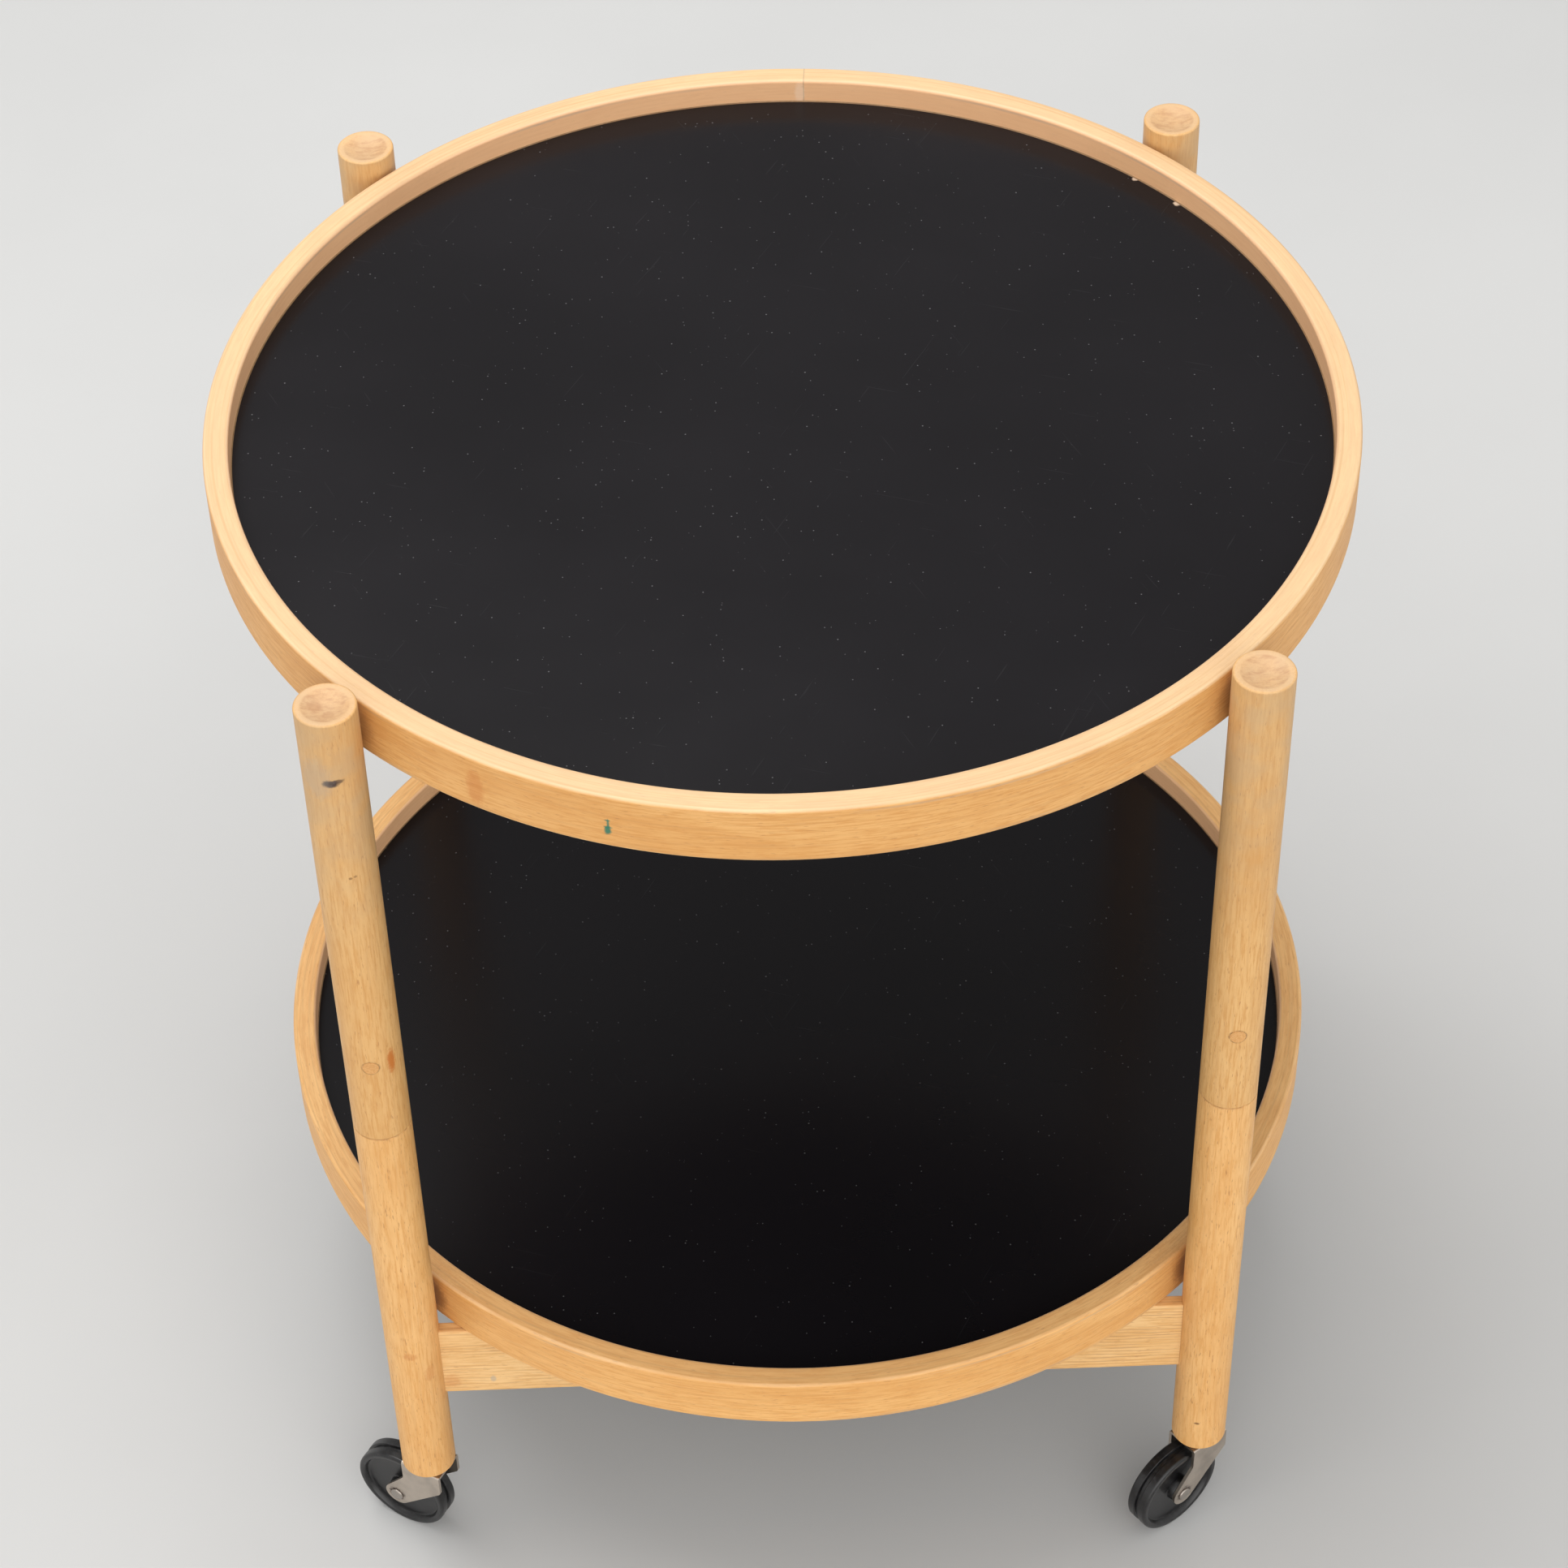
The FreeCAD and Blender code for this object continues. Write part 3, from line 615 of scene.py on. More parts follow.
def rim_beech(tray, marks):
    """Bent beech with the grain round the rim: worn pale on its flats and edges, with a painted highlight
    along its outer top edge, and pinker on its inside.
    """
    look = TRAY_LOOKS[tray]
    rim = f"{tray}_rim"
    material, tree, shader, place = new_material(f"{rim}_beech")
    radius = half_width(rim)
    half = half_height(rim)
    level = centre_of(rim).z
    inner = radius - sizes().rim_thickness
    round_rim = grouped(tree, round_group(), {"Vector": place, "Radius": radius, "Turn": look["turn"]})
    strip = vector_calc(tree, "SUBTRACT", round_rim["Vector"], (radius, level, 0.0))
    # The rim's tone, set per tray, is darker on the upper rim as painted shade
    grain = beech_base(tree, strip, RIM_GRAIN, look["rim_share_with_shade"])
    from_middle, height, _ = parts_of(tree, round_rim["Vector"])
    lift = away(tree, height, level)
    inside = band(tree, from_middle, inner + 1.2 * MM, inner + 0.4 * MM)
    paint = laid(tree, grain["Color"], inside, wear().rim_inside, PINK_BEECH)
    worn = band(tree, lift, half - 1.2 * MM, half - 0.2 * MM)
    paint = laid(tree, paint, worn, look["worn"], WORN_BEECH)
    lines = patches(tree, scaled(tree, strip, 850.0, 850.0, 4.0), 0.50, 0.68)
    paint = laid(tree, paint, times(tree, lines, worn), wear().rim_lines, TAN_LINE)
    # A painted highlight along the round of the outer top edge, in uneven patches
    corner = radius + half
    edge = band(tree, calc(tree, "ADD", from_middle, lift), corner - 1.55 * MM, corner - 1.1 * MM)
    uneven_highlight = patches(tree, place, 0.40, 0.66, scale=16.0, detail=3.0)
    paint = laid(tree, paint, edge, calc(tree, "MULTIPLY_ADD", uneven_highlight, 0.16, 0.02), PAINTED_EDGE_HIGHLIGHT)
    under = times(tree, band(tree, lift, half - 3.0 * MM, half - 2.2 * MM),
                  band(tree, lift, half - 1.2 * MM, half - 1.9 * MM))
    grimy = patches(tree, place, 0.48, 0.64, scale=11.0, detail=4.0)
    paint = laid(tree, paint, times(tree, under, grimy), wear().rim_grime, GREY_RUB)
    paint = laid(tree, paint, round_rim["Joint"], wear().rim_joint, GLUE_LINE)
    wood_finish(tree, shader, grain, marked(tree, place, paint, marks))
    return material


def leg_beech(name, share, marks):
    """Turned beech with the grain up the leg: end grain in its dished top, dark lines at its pin and seam."""
    material, tree, shader, place = new_material(name)
    grain = beech_base(tree, place, LEG_GRAIN, share)
    leg = centre_of("leg_upper_front_left")
    radius = half_width("leg_upper_front_left")
    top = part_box("leg_upper_front_left")[1].z
    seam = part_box("leg_lower_front_left")[1].z
    pin = centre_of("spigot_pin_front_left")
    x, y, height = parts_of(tree, place)
    across = calc(tree, "SUBTRACT", calc(tree, "ABSOLUTE", x), abs(leg.x))
    deep = calc(tree, "SUBTRACT", calc(tree, "ABSOLUTE", y), abs(leg.y))
    patchy = patches(tree, place, 0.35, 0.65, scale=70.0, detail=4.0)
    aged = band(tree, height, pin.z + 40 * MM, top - 20 * MM)
    paint = laid(tree, grain["Color"], aged, calc(tree, "MULTIPLY_ADD", patchy, 0.45, 0.2), GREY_BEECH)
    end = times(tree, band(tree, height, top - 3.0 * MM, top - 2.8 * MM),
                band(tree, across_corner(tree, across, deep), radius - 0.6 * MM, radius - 1.2 * MM))
    paint = laid(tree, paint, end, wear().leg_end, END_GRAIN)
    dish = times(tree, end, band(tree, height, top - 0.02 * MM, top - 0.5 * MM))
    dirt = patches(tree, scaled(tree, place, 170.0, 420.0, 420.0), 0.40, 0.68, detail=5.0, roughness=0.65)
    paint = laid(tree, paint, dish, calc(tree, "MULTIPLY_ADD", dirt, 0.45, 0.15), DISH_DIRT)
    from_pin = across_corner(tree, across, calc(tree, "SUBTRACT", height, pin.z))
    ring = band(tree, away(tree, from_pin, sizes().pin_radius), 0.95 * MM, 0.25 * MM)
    cleft = band(tree, away(tree, height, seam), 0.9 * MM, 0.3 * MM)
    line = calc(tree, "MAXIMUM", ring, times(tree, cleft, wear().leg_seam))
    uneven = patches(tree, place, 0.30, 0.62, scale=380.0)
    paint = laid(tree, paint, line, calc(tree, "MULTIPLY_ADD", uneven, 0.6, 0.15), DARK_LINE)
    wood_finish(tree, shader, grain, marked(tree, place, paint, marks))
    return material


def plain_beech(name, axes, grain, share, marks=()):
    """Oiled beech whose grain runs along the last of the three named axes."""
    material, tree, shader, place = new_material(name)
    named = dict(zip("xyz", parts_of(tree, place)))
    vector = joined(tree, *(named[axis] for axis in axes))
    wood = beech_base(tree, vector, grain, share)
    wood_finish(tree, shader, wood, marked(tree, place, wood["Color"], marks))
    return material


def laminate(name, bloom_share_with_shade, shine, marks):
    """Black laminate with a faint bloom, dust specks and hair scratches; the bloom's tone, set per board, is
    painted light on the upper board and painted shade on the lower one.
    """
    material, tree, shader, place = new_material(name)
    tone = colours()
    bloom = noise(tree, place, scale=7.0, detail=4.0)
    # The bloom's tone: lighter on the upper board as painted light, darker on the lower one as painted shade
    bloom_tone_with_shade = [channel * bloom_share_with_shade for channel in tone.laminate]
    base = blend(tree, band(tree, bloom, 0.3, 0.8), colour(tone.laminate), colour(bloom_tone_with_shade))
    small = grouped(tree, speck_group(), {"Vector": place, "Scale": 380.0, "Size": 0.13, "Share": 0.30})
    large = grouped(tree, speck_group(), {"Vector": place, "Scale": 70.0, "Size": 0.024, "Share": 0.14})
    dusty = times(tree, calc(tree, "MAXIMUM", small["Mask"], large["Mask"]), wear().specks)
    for turn, density in ((0.5, 0.79), (1.9, 0.80), (2.7, 0.81)):
        way = node(tree, "ShaderNodeMapping", {"Vector": place, "Rotation": (0.0, 0.0, turn)}).outputs[0]
        line = patches(tree, scaled(tree, way, 900.0, 22.0, 1.0), density - 0.03, density, detail=1.0)
        dusty = calc(tree, "MAXIMUM", dusty, times(tree, line, wear().scratches))
    paint = marked(tree, place, blend(tree, dusty, base, colour(tone.dust)), marks)
    pores = noise(tree, place, scale=1400.0, detail=1.0)
    surface(tree, shader, paint, calc(tree, "MULTIPLY_ADD", bloom, 0.12, 0.17), pores, 0.08, 0.05 * MM)
    shader.inputs["Specular IOR Level"].default_value = shine
    return material


def wheel_plastic():
    """Black moulded plastic, scuffed grey where it rolls."""
    material, tree, shader, place = new_material("wheel_plastic")
    tone = colours()
    rub = noise(tree, place, scale=520.0, detail=4.0, roughness=0.6)
    grit = patches(tree, place, 0.55, 0.72, scale=1600.0)
    scuff = times(tree, band(tree, rub, 0.45, 0.70), calc(tree, "MULTIPLY_ADD", grit, 0.7, 0.3))
    dusty = patches(tree, place, 0.45, 0.75, scale=60.0, detail=3.0)
    mixed = calc(tree, "MULTIPLY_ADD", dusty, 0.05, times(tree, scuff, wear().scuffs))
    paint = blend(tree, mixed, colour(tone.wheel_black), colour(tone.dust))
    surface(tree, shader, paint, calc(tree, "MULTIPLY_ADD", scuff, 0.30, 0.30), rub, 0.15, 0.1 * MM)
    return material


def plated(name, tint, rough, marks=()):
    """Plated or plain steel with faint clouds, fine rub lines and the marks given, which on the forks are
    painted shadows round the rivet heads.
    """
    material, tree, shader, place = new_material(name)
    cloud = patches(tree, place, 0.35, 0.8, scale=90.0, detail=4.0)
    rub = noise(tree, scaled(tree, place, 900.0, 900.0, 60.0))
    paint = blend(tree, cloud, colour(tint), colour([channel * 0.72 for channel in tint]))
    paint = marked(tree, place, paint, marks)
    surface(tree, shader, paint, calc(tree, "MULTIPLY_ADD", rub, 0.14, rough), rub, 0.05, 0.05 * MM)
    shader.inputs["Metallic"].default_value = 1.0
    return material


# Pieces


def on_rim(tray, angle, below_top, radius):
    """A place on a rim: an angle from the front, towards +X, and a depth below its top."""
    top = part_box(f"{tray}_rim")[1].z
    return (radius * math.sin(angle), -radius * math.cos(angle), top - below_top)


def leg_shade_and_rubs(tray):
    """Painted shade on a rim's outside at each leg: a dark patch of painted shade and some grime, within a
    wide faint patch of painted shade alone.
    """
    radius = half_width(f"{tray}_rim")
    middle = half_height(f"{tray}_rim")
    # Strength of the painted shade at the legs
    strength = TRAY_LOOKS[tray]["rub"]
    shades_and_rubs = []
    for quarter in range(4):
        place = on_rim(tray, math.pi / 4 + quarter * math.pi / 2, middle, radius)
        # A wide faint patch of painted shade, then a dark patch of painted shade with some grime
        shades_and_rubs.append((place, 40.0 * MM, 0.55, strength * 0.28, LEG_SHADE_AND_GRIME))
        shades_and_rubs.append((place, 12.0 * MM, 1.0, strength, LEG_SHADE_AND_GRIME))
    return shades_and_rubs


def upper_rim_marks():
    """A fleck of green paint and an orange smear on the upper rim's outside, and glue inside at its joint."""
    radius = half_width("upper_tray_rim")
    inside = radius - sizes().rim_thickness
    joint = math.pi - TRAY_LOOKS["upper_tray"]["turn"]
    marks = [(on_rim("upper_tray", joint + 0.008, 7.0 * MM, inside), 3.0 * MM, 2.6, 0.28, DRIED_GLUE)]
    for angle, below, size, stretch, strength in (
            (-0.309, 18.5, 1.9, 1.6, 0.95), (-0.308, 15.0, 0.7, 5.0, 0.8),
            (-0.309, 13.2, 1.6, 0.35, 0.8), (-0.309, 17.0, 2.4, 0.25, 0.8)):
        place = on_rim("upper_tray", angle, below * MM, radius)
        marks.append((place, size * MM, stretch, strength, GREEN_PAINT))
    marks.append((on_rim("upper_tray", -0.541, 16.0 * MM, radius), 5.0 * MM, 2.4, 0.50, ORANGE_STAIN))
    return marks


def upper_board_marks():
    """Chips at the back right edge of the upper board."""
    reach = half_width("upper_tray_rim") - sizes().rim_thickness
    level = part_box("upper_tray_rim")[1].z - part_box("upper_tray_top_laminate")[1].z
    return [
        (on_rim("upper_tray", 2.351, level, reach - 0.5 * MM), 1.9 * MM, 1.0, 0.85, CHIP),
        (on_rim("upper_tray", 2.240, level, reach - 0.8 * MM), 2.1 * MM, 1.0, 0.85, CHIP),
    ]


class TROLLEY_OT_trays(bpy.types.Operator):
    """Models the two bent rims with their glue beads and finishes the boards"""
    bl_idname = "trolley.trays"
    bl_label = "Trays"

    def execute(self, context):
        radius = half_width("upper_tray_rim")
        inside = radius - sizes().rim_thickness
        glue = plain_beech("glue_bead", "xyz", NO_GRAIN, GLUE_SHARE)
        own_rim_marks = {"upper_tray": upper_rim_marks(), "lower_tray": []}
        own_board_marks = {"upper_tray": upper_board_marks(), "lower_tray": []}
        for tray, look in TRAY_LOOKS.items():
            # The rim's marks: painted shade at the legs, then its own marks
            wood = rim_beech(tray, leg_shade_and_rubs(tray) + own_rim_marks[tray])
            low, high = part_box(f"{tray}_rim")
            rim = self.rim(f"{tray}_bent_rim", radius, inside, low.z, high.z)
            finish(rim, f"{tray}_rim", tray, wood)
            for side, face in (("top", 1), ("bottom", 0)):
                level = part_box(f"{tray}_{side}_laminate")[face].z
                bead = self.bead(f"{tray}_{side}_glue_bead", inside, level, 1 if face else -1)
                finish(bead, None, tray, glue)
            # Each board's laminate carries its own bloom tone, painted light on the upper board and painted
            # shade on the lower
            board = laminate(f"{tray}_laminate", look["bloom_share_with_shade"], look["shine"], own_board_marks[tray])
            dress(f"{tray}_top_laminate", board)
            dress(f"{tray}_bottom_laminate", board)
            dress(f"{tray}_board_core", glue)
        return {"FINISHED"}

    def rim(self, name, radius, inside, low, high):
        rounding = sizes().rim_rounding
        outline = arc((radius - rounding, low + rounding), rounding, -90, 0)
        outline += arc((radius - rounding, high - rounding), rounding, 0, 90)
        outline += arc((inside + rounding, high - rounding), rounding, 90, 180)
        outline += arc((inside + rounding, low + rounding), rounding, 180, 270)
        return turned(name, outline + outline[:1], Vector(), UP, RIGHT, sizes().round_steps)

    def bead(self, name, inside, level, way):
        """A bead of glue on a board's face, up or down, with its root let into the rim."""
        width = sizes().bead_width
        root = inside + 0.2 * width
        hollow = 0.35 * width
        outline = [(root, level), (inside - width, level), (inside - hollow, level + way * hollow),
                   (inside, level + way * width), (root, level + way * width), (root, level)]
        return turned(name, outline, Vector(), UP, RIGHT, sizes().round_steps)


def leg_marks():
    """A knot, stains, dots and dirt on the front left leg, and a dent at the foot of the front right one."""
    low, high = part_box("leg_upper_front_left")
    left = centre_of("leg_upper_front_left")
    bar = centre_of("lower_bar_front")
    knee = Vector((left.x, low.y, high.z))
    dish = Vector((left.x, left.y, high.z))
    pin = Vector((left.x, low.y, centre_of("spigot_pin_front_left").z))
    shin = Vector((left.x, low.y, bar.z))
    foot = Vector((-left.x, low.y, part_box("leg_lower_front_right")[0].z))
    marks = []
    for start, shift, size, stretch, strength, shade in (
            (knee, (-0.2, 0.0, -32.0), 4.3, 0.62, 1.0, KNOT_AND_RIVET_SHADOW),
            (knee, (2.9, 0.3, -31.0), 3.4, 0.45, 0.75, KNOT_AND_RIVET_SHADOW),
            (knee, (2.6, 0.3, -87.0), 1.1, 0.9, 0.7, DARK_LINE),
            (knee, (4.6, 0.8, -86.5), 1.0, 0.9, 0.6, DARK_LINE),
            (pin, (8.4, 4.0, 1.0), 2.7, 3.6, 1.0, ORANGE_STAIN),
            (knee, (-6.0, 2.0, -30.0), 9.0, 1.6, 0.28, GREY_RUB),
            (dish, (-4.2, 1.0, -1.6), 4.2, 1.0, 0.5, DISH_DIRT),
            (dish, (1.5, -4.5, -1.6), 3.6, 1.0, 0.4, DISH_DIRT),
            (shin, (-0.5, 0.0, 18.0), 4.5, 0.8, 0.4, ORANGE_STAIN),
            (shin, (7.0, 3.0, 2.0), 3.6, 2.2, 0.35, ORANGE_STAIN),
            (foot, (-3.2, 0.0, 20.5), 1.9, 0.55, 0.9, DARK_LINE)):
        marks.append((start + Vector(shift) * MM, size * MM, stretch, strength, shade))
    return marks


class TROLLEY_OT_legs(bpy.types.Operator):
    """Turns the leg halves and cuts the pins that cross them"""
    bl_idname = "trolley.legs"
    bl_label = "Legs"

    def execute(self, context):
        start = centre_of(f"leg_upper_{FIRST}")
        upper_wood = leg_beech("leg_beech_upper", UPPER_LEG_SHARE, leg_marks())
        lower_wood = leg_beech("leg_beech_lower", LOWER_LEG_SHARE, leg_marks())
        plug = plain_beech("pin_end_grain", "xzy", PIN_GRAIN, PIN_SHARE)
        models = (
            ("leg_upper", self.half(f"leg_upper_{FIRST}", True), upper_wood, "leg_beech"),
            ("leg_lower", self.half(f"leg_lower_{FIRST}", False), lower_wood, "leg_beech"),
            ("spigot_pin", self.pin(f"spigot_pin_{FIRST}_plug"), plug, "pin_beech"),
        )
        for kind, model, material, slot in models:
            for corner in CORNERS:
                piece = model
                if corner != FIRST:
                    shift = centre_of(f"leg_upper_{corner}") - start
                    move = Matrix.Translation((shift.x, shift.y, 0.0))
                    piece = copied(model, f"{kind}_{corner}_turned", move)
                finish(piece, f"{kind}_{corner}", "frame", material)
        for corner in CORNERS:
            dress(f"swivel_spigot_{corner}", plug)
        return {"FINISHED"}

    def half(self, source, dished):
        size = sizes()
        low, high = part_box(source)
        middle = (low + high) / 2
        radius = half_width(source)
        edge = size.leg_edge
        outline = [(0.0, low.z)] + arc((radius - edge, low.z + edge), edge, -90, 0, 3)
        outline += arc((radius - edge, high.z - edge), edge, 0, 90, 3)
        if dished:
            dish = radius - size.dish_margin
            for index in range(DISH_STEPS + 1):
                share = 1 - index / DISH_STEPS
                outline.append((dish * share, high.z - size.dish_depth * (1 - share ** 2)))
        else:
            outline.append((0.0, high.z))
        foot = Vector((middle.x, middle.y, 0.0))
        return turned(f"{source}_turned", outline, foot, UP, RIGHT, size.leg_steps)

    def pin(self, name):
        """A dowel across the leg, cut to a round just proud of it."""
        size = sizes()
        middle = centre_of(f"spigot_pin_{FIRST}")
        leg = half_width(f"leg_upper_{FIRST}")
        deselect()
        bpy.ops.mesh.primitive_cylinder_add(vertices=PIN_SIDES, radius=size.pin_radius,
                                            depth=2 * leg + 4 * MM, location=middle,
                                            rotation=(math.pi / 2, 0.0, 0.0))
        dowel = bpy.context.object
        give_name(dowel, name)
        bpy.ops.object.transform_apply(location=True, rotation=True, scale=True)
        bpy.ops.mesh.primitive_cylinder_add(vertices=size.leg_steps * 2, radius=leg + size.pin_proud,
                                            depth=40 * MM, location=middle)
        cutter = bpy.context.object
        select_only(dowel)
        modify(dowel, "BOOLEAN", operation="INTERSECT", object=cutter)
        bpy.data.objects.remove(cutter)
        smooth(dowel)
        return dowel


def bar_marks():
    """A grey rub and an orange stain at the left end of the front bar."""
    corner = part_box("lower_bar_front")[0]
    return [
        ((corner.x + 38 * MM, corner.y, corner.z + 9.5 * MM), 1.9 * MM, 1.5, 0.55, GREY_RUB),
        ((corner.x + 18.5 * MM, corner.y, corner.z + 9 * MM), 5.5 * MM, 1.1, 0.35, ORANGE_STAIN),
    ]


class TROLLEY_OT_bars(bpy.types.Operator):
    """Finishes the four bars with the grain along each"""
    bl_idname = "trolley.bars"
    bl_label = "Bars"

    def execute(self, context):
        across = plain_beech("bar_beech_across", "yzx", BAR_GRAIN, BAR_SHARE, bar_marks())
        deep = plain_beech("bar_beech_deep", "xzy", BAR_GRAIN, BAR_SHARE)
        for side in ("front", "back"):
            dress(f"lower_bar_{side}", across)
        for side in ("left", "right"):
            dress(f"upper_bar_{side}", deep)
        return {"FINISHED"}


class TROLLEY_OT_casters(bpy.types.Operator):
    """Models the wheels and axle rivets and finishes the forks, stems and sleeves"""
    bl_idname = "trolley.casters"
    bl_label = "Casters"

    def execute(self, context):
        tone = colours()
        plastic = wheel_plastic()
        nickel = plated("sleeve_nickel", tone.nickel, FORK_ROUGHNESS)
        steel = plated("rivet_steel", tone.steel, RIVET_ROUGHNESS)
        start = self.matrix(FIRST)
        wheel = self.wheel(f"caster_{FIRST}_wheel")
        rivet = self.rivet(f"caster_{FIRST}_rivet")
        for corner in CORNERS:
            turn = self.matrix(corner) @ start.inverted()
            for model, kind, source, body, material, slot in (
                    (wheel, "wheel", "caster_wheel", f"wheel_{corner}", plastic, "wheel_black"),
                    (rivet, "rivet", "caster_axle", f"caster_{corner}", steel, "rivet_steel")):
                piece = model if corner == FIRST else copied(model, f"caster_{corner}_{kind}", turn)
                finish(piece, f"{source}_{corner}", body, material)
            # Each fork carries painted shadows round its rivet heads
            fork = plated(f"fork_nickel_{corner}", tone.nickel, FORK_ROUGHNESS, self.grime(corner))
            dress(f"caster_fork_{corner}", fork)
            dress(f"caster_stem_{corner}", steel)
            dress(f"caster_sleeve_{corner}", nickel)
        return {"FINISHED"}

    def spin(self, corner):
        """A wheel's middle and the direction of its axle."""
        joint = JOINTS[f"wheel_spin_{corner}"]
        return Vector(joint["pos_m"]), Vector(joint["axis"]).normalized()

    def matrix(self, corner):
        """From a wheel's own frame, axle along Y, to its place."""
        place, axis = self.spin(corner)
        turn = Matrix.Rotation(math.atan2(-axis.x, axis.y), 4, "Z")
        return Matrix.Translation(place) @ turn

    def reach(self, corner):
        """Half the length of a caster's rivet over its heads."""
        axis = self.spin(corner)[1]
        low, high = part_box(f"caster_axle_{corner}")
        return ((high.x - low.x) - (high.z - low.z) * abs(axis.y)) / (2 * abs(axis.x))

    def grime(self, corner):
        """Painted shadows round the rivet heads: a dark ring on each of the fork's two cheeks, a little above
        its rivet, so that it shows widest above the head.
        """
        place, axis = self.spin(corner)
        size = half_height(f"caster_axle_{corner}") * 1.65
        cheek = self.reach(corner) - sizes().rivet_head
        return [(place + axis * side * cheek + UP * 0.5 * MM, size, 1.0, 1.0, KNOT_AND_RIVET_SHADOW) for side in (-1, 1)]

    def wheel(self, name):
        """A moulded wheel: hub, dished web, lip and a tread with a groove round it."""
        size = sizes()
        place, axis = self.spin(FIRST)
        radius = half_height(f"caster_wheel_{FIRST}")
        hub = size.hub_radius
        half = size.wheel_half
        hub_half = half + size.hub_rise
        web = half - size.wheel_dish
        lip = radius - size.wheel_lip
        edge = size.wheel_edge
        bore = size.axle_radius + WHEEL_CLEARANCE
        side = [(bore, hub_half), (hub - 0.6 * MM, hub_half), (hub, hub_half - 0.6 * MM),
                (hub + 0.5 * MM, web + 0.5 * MM), (hub + 1.4 * MM, web),
                (lip - size.wheel_dish * 0.75, web), (lip - size.wheel_dish * 0.3, web + 0.6 * MM),
                (lip - 0.2 * MM, half - 0.5 * MM), (lip + 0.5 * MM, half)]
        side += arc((radius - edge, half - edge), edge, 90, 0, 4)
        side += [(radius, size.tread_groove + 0.3 * MM), (radius - 0.3 * MM, size.tread_groove),
                 (radius - size.tread_groove_depth, size.tread_groove * 0.7)]
        outline = both_sides(side)
        return turned(name, outline + outline[:1], place, axis, UP, size.leg_steps)

    def rivet(self, name):
        """An axle rivet with a domed head at each end."""
        size = sizes()
        place, axis = self.spin(FIRST)
        head = half_height(f"caster_axle_{FIRST}")
        reach = self.reach(FIRST)
        inner = reach - size.rivet_head
        side = [(0.0, reach)]
        for degrees in range(75, -15, -15):
            angle = math.radians(degrees)
            rise = 0.35 + 0.65 * math.sin(angle)
            side.append((head * math.cos(angle), inner + size.rivet_head * rise))
        side += [(head, inner), (size.axle_radius, inner)]
        return turned(name, both_sides(side), place, axis, UP, size.leg_steps)


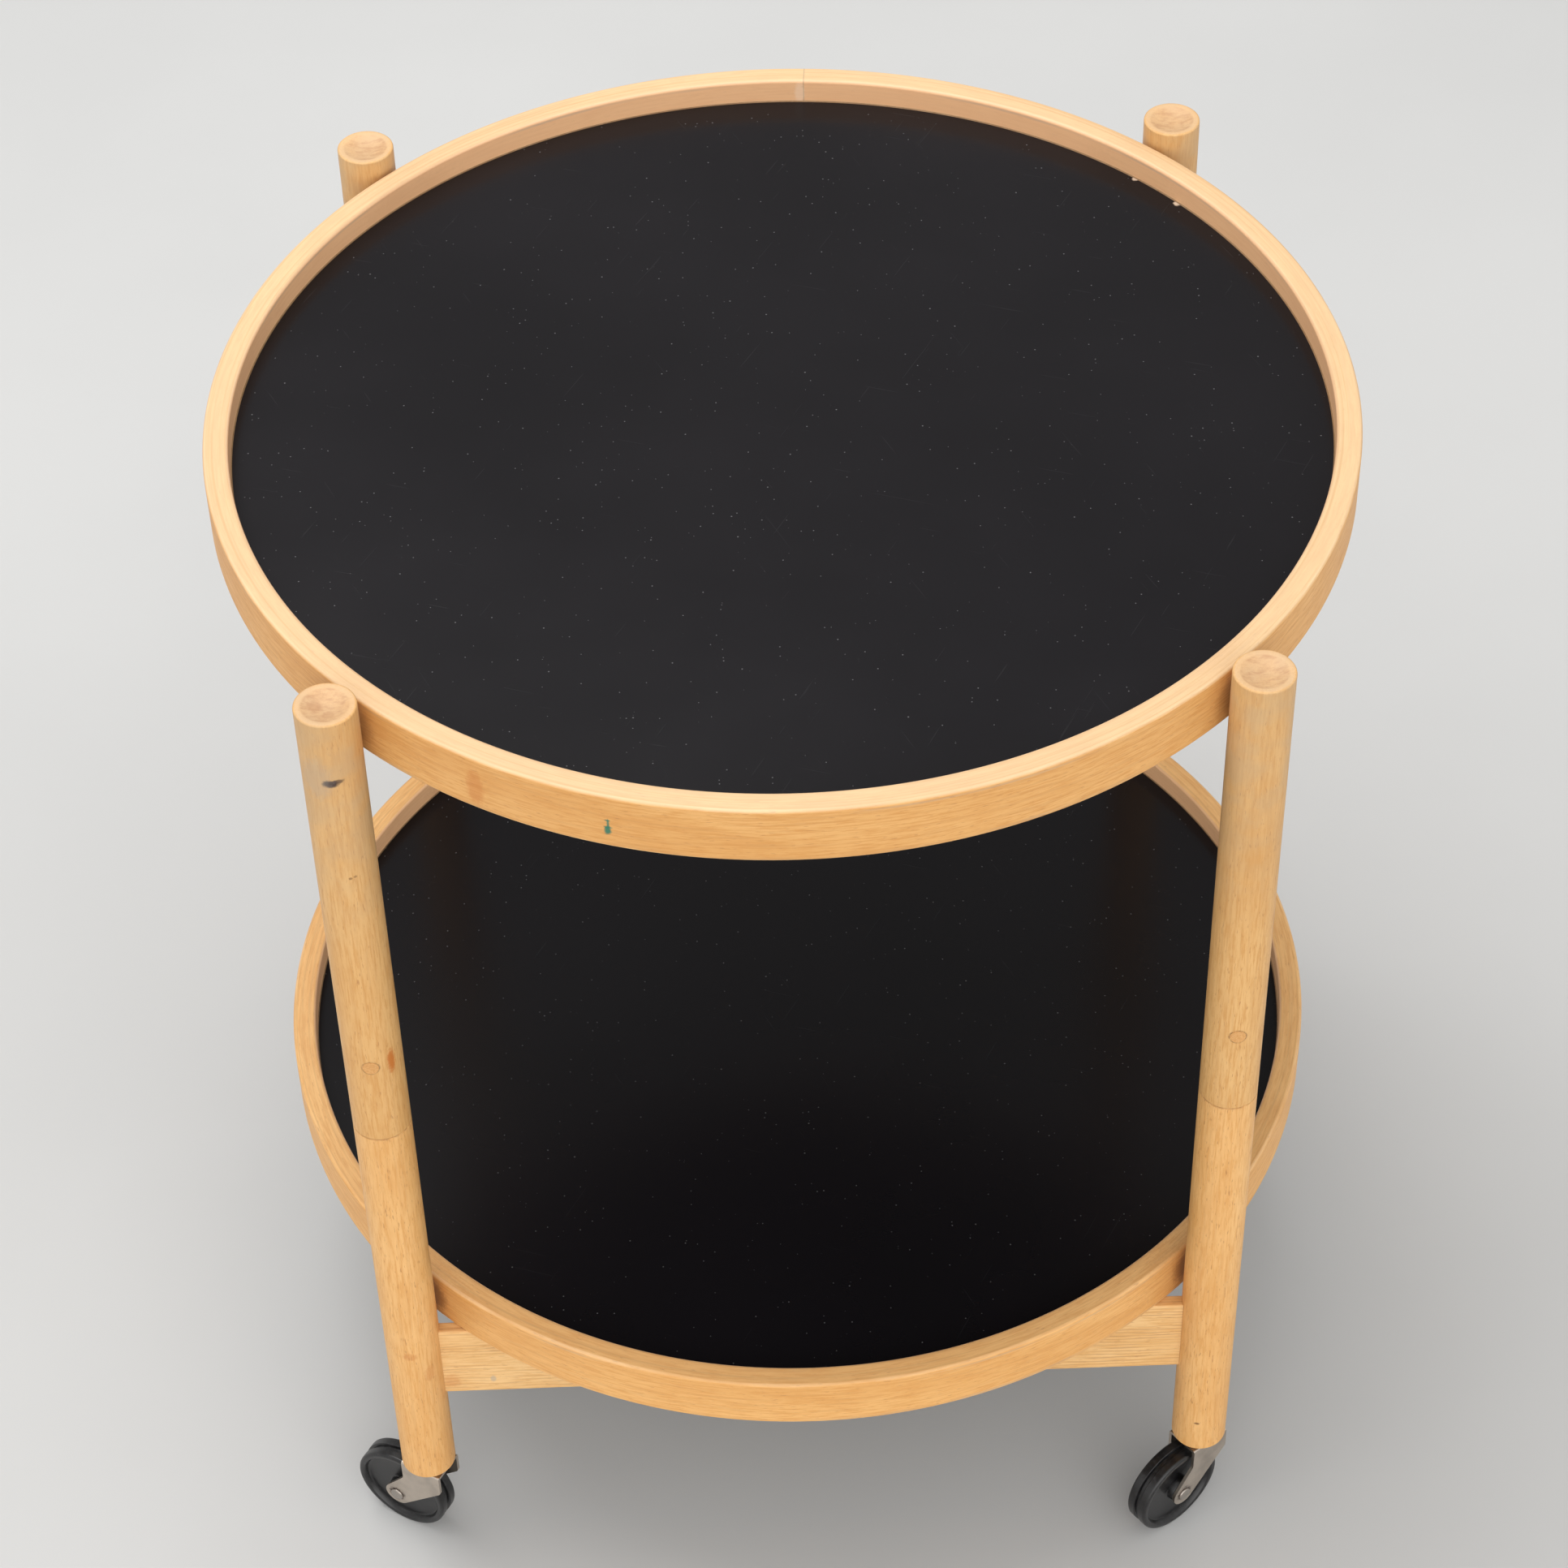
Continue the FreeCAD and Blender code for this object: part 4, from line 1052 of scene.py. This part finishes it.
class TROLLEY_OT_stage(bpy.types.Operator):
    """Sets the floor, the overhead soft box, the room's light and the camera"""
    bl_idname = "trolley.stage"
    bl_label = "Stage"

    def execute(self, context):
        stage = context.scene.trolley_stage
        self.floor()
        self.soft_box(stage.lamp_power)
        self.world(stage.world_strength, stage.fill_strength)
        self.camera(stage)
        context.scene.view_settings.view_transform = "Standard"
        return {"FINISHED"}

    def floor(self):
        deselect()
        bpy.ops.mesh.primitive_circle_add(vertices=FLOOR_SIDES, radius=FLOOR_RADIUS, fill_type="NGON",
                                          location=(0.0, 0.0, CAD_BOX[0][2]))
        floor = bpy.context.object
        floor.name = "floor"
        material, tree, shader, place = new_material("floor_pale")
        tone = colours().floor
        cloud = patches(tree, place, 0.3, 0.7, scale=2.2, detail=5.0)
        paint = blend(tree, cloud, colour(tone), colour([channel * 0.95 for channel in tone]))
        tree.links.new(paint, shader.inputs["Base Color"])
        shader.inputs["Roughness"].default_value = FLOOR_ROUGHNESS
        floor.data.materials.append(material)

    def soft_box(self, power):
        light = bpy.data.lights.new("overhead_soft_box", "AREA")
        light.shape = "DISK"
        light.size = SOFT_BOX_SIZE
        light.energy = power
        lamp = bpy.data.objects.new("overhead_soft_box", light)
        bpy.context.scene.collection.objects.link(lamp)
        lamp.location = SOFT_BOX_PLACE
        lamp.rotation_euler = (SOFT_BOX_TARGET - SOFT_BOX_PLACE).to_track_quat("-Z", "Y").to_euler()

    def world(self, strength, fill):
        """An even room, dimmer behind the trolley, with a soft light behind the camera."""
        world = bpy.data.worlds.new("pale_room")
        bpy.context.scene.world = world
        world.use_nodes = True
        tree = world.node_tree
        sky = tree.nodes["Background"]
        sky.inputs["Color"].default_value = colour(ROOM_TINT)
        direction = tree.nodes.new("ShaderNodeTexCoord").outputs["Generated"]
        _, forward, upward = parts_of(tree, direction)
        share = calc(tree, "MULTIPLY_ADD", band(tree, forward, *BACK_FADE), 1.0 - BACK_SHARE, BACK_SHARE)
        low = times(tree, band(tree, upward, *HORIZON_FADE), HORIZON_SHARE)
        room = times(tree, calc(tree, "MAXIMUM", share, low), strength)
        facing = node(tree, "ShaderNodeVectorMath", {0: direction, 1: FILL_WAY}, operation="DOT_PRODUCT")
        lobe = band(tree, facing.outputs["Value"], math.cos(FILL_FADE[1]), math.cos(FILL_FADE[0]))
        light = calc(tree, "MULTIPLY_ADD", lobe, fill, room)
        seen = tree.nodes.new("ShaderNodeLightPath").outputs["Is Camera Ray"]
        change = calc(tree, "SUBTRACT", BACKDROP_STRENGTH, light)
        tree.links.new(calc(tree, "MULTIPLY_ADD", seen, change, light), sky.inputs["Strength"])

    def camera(self, stage):
        camera = bpy.data.cameras.new("camera")
        camera.sensor_fit = "HORIZONTAL"
        camera.lens = stage.focal_share * camera.sensor_width
        camera.clip_end = CAMERA_REACH
        holder = bpy.data.objects.new("camera", camera)
        bpy.context.scene.collection.objects.link(holder)
        pitch, heading, roll = stage.camera_turn
        aim = Euler((math.pi / 2 + pitch, 0.0, heading)).to_matrix() @ Matrix.Rotation(roll, 3, "Z")
        holder.matrix_world = Matrix.Translation(stage.camera_place) @ aim.to_4x4()
        bpy.context.scene.camera = holder


class TROLLEY_PT_panel(bpy.types.Panel):
    """Lists the steps that dress the trolley"""
    bl_idname = "TROLLEY_PT_panel"
    bl_label = "Serving trolley"
    bl_space_type = "VIEW_3D"
    bl_region_type = "UI"
    bl_category = "Trolley"

    def draw(self, context):
        for operator in OPERATORS:
            self.layout.operator(operator.bl_idname)


GROUPS = {"trolley_sizes": TrolleySizes, "trolley_colours": TrolleyColours, "trolley_wear": TrolleyWear,
          "trolley_stage": TrolleyStage}
OPERATORS = (TROLLEY_OT_trays, TROLLEY_OT_legs, TROLLEY_OT_bars, TROLLEY_OT_casters, TROLLEY_OT_stage)
CLASSES = tuple(GROUPS.values()) + OPERATORS + (TROLLEY_PT_panel,)


def register():
    for cls in CLASSES:
        bpy.utils.register_class(cls)
    for name, group in GROUPS.items():
        setattr(bpy.types.Scene, name, PointerProperty(type=group))


def unregister():
    for name in GROUPS:
        delattr(bpy.types.Scene, name)
    for cls in reversed(CLASSES):
        bpy.utils.unregister_class(cls)


def main():
    register()
    bpy.ops.trolley.trays()
    bpy.ops.trolley.legs()
    bpy.ops.trolley.bars()
    bpy.ops.trolley.casters()
    bpy.ops.trolley.stage()


if __name__ == "__main__":
    main()
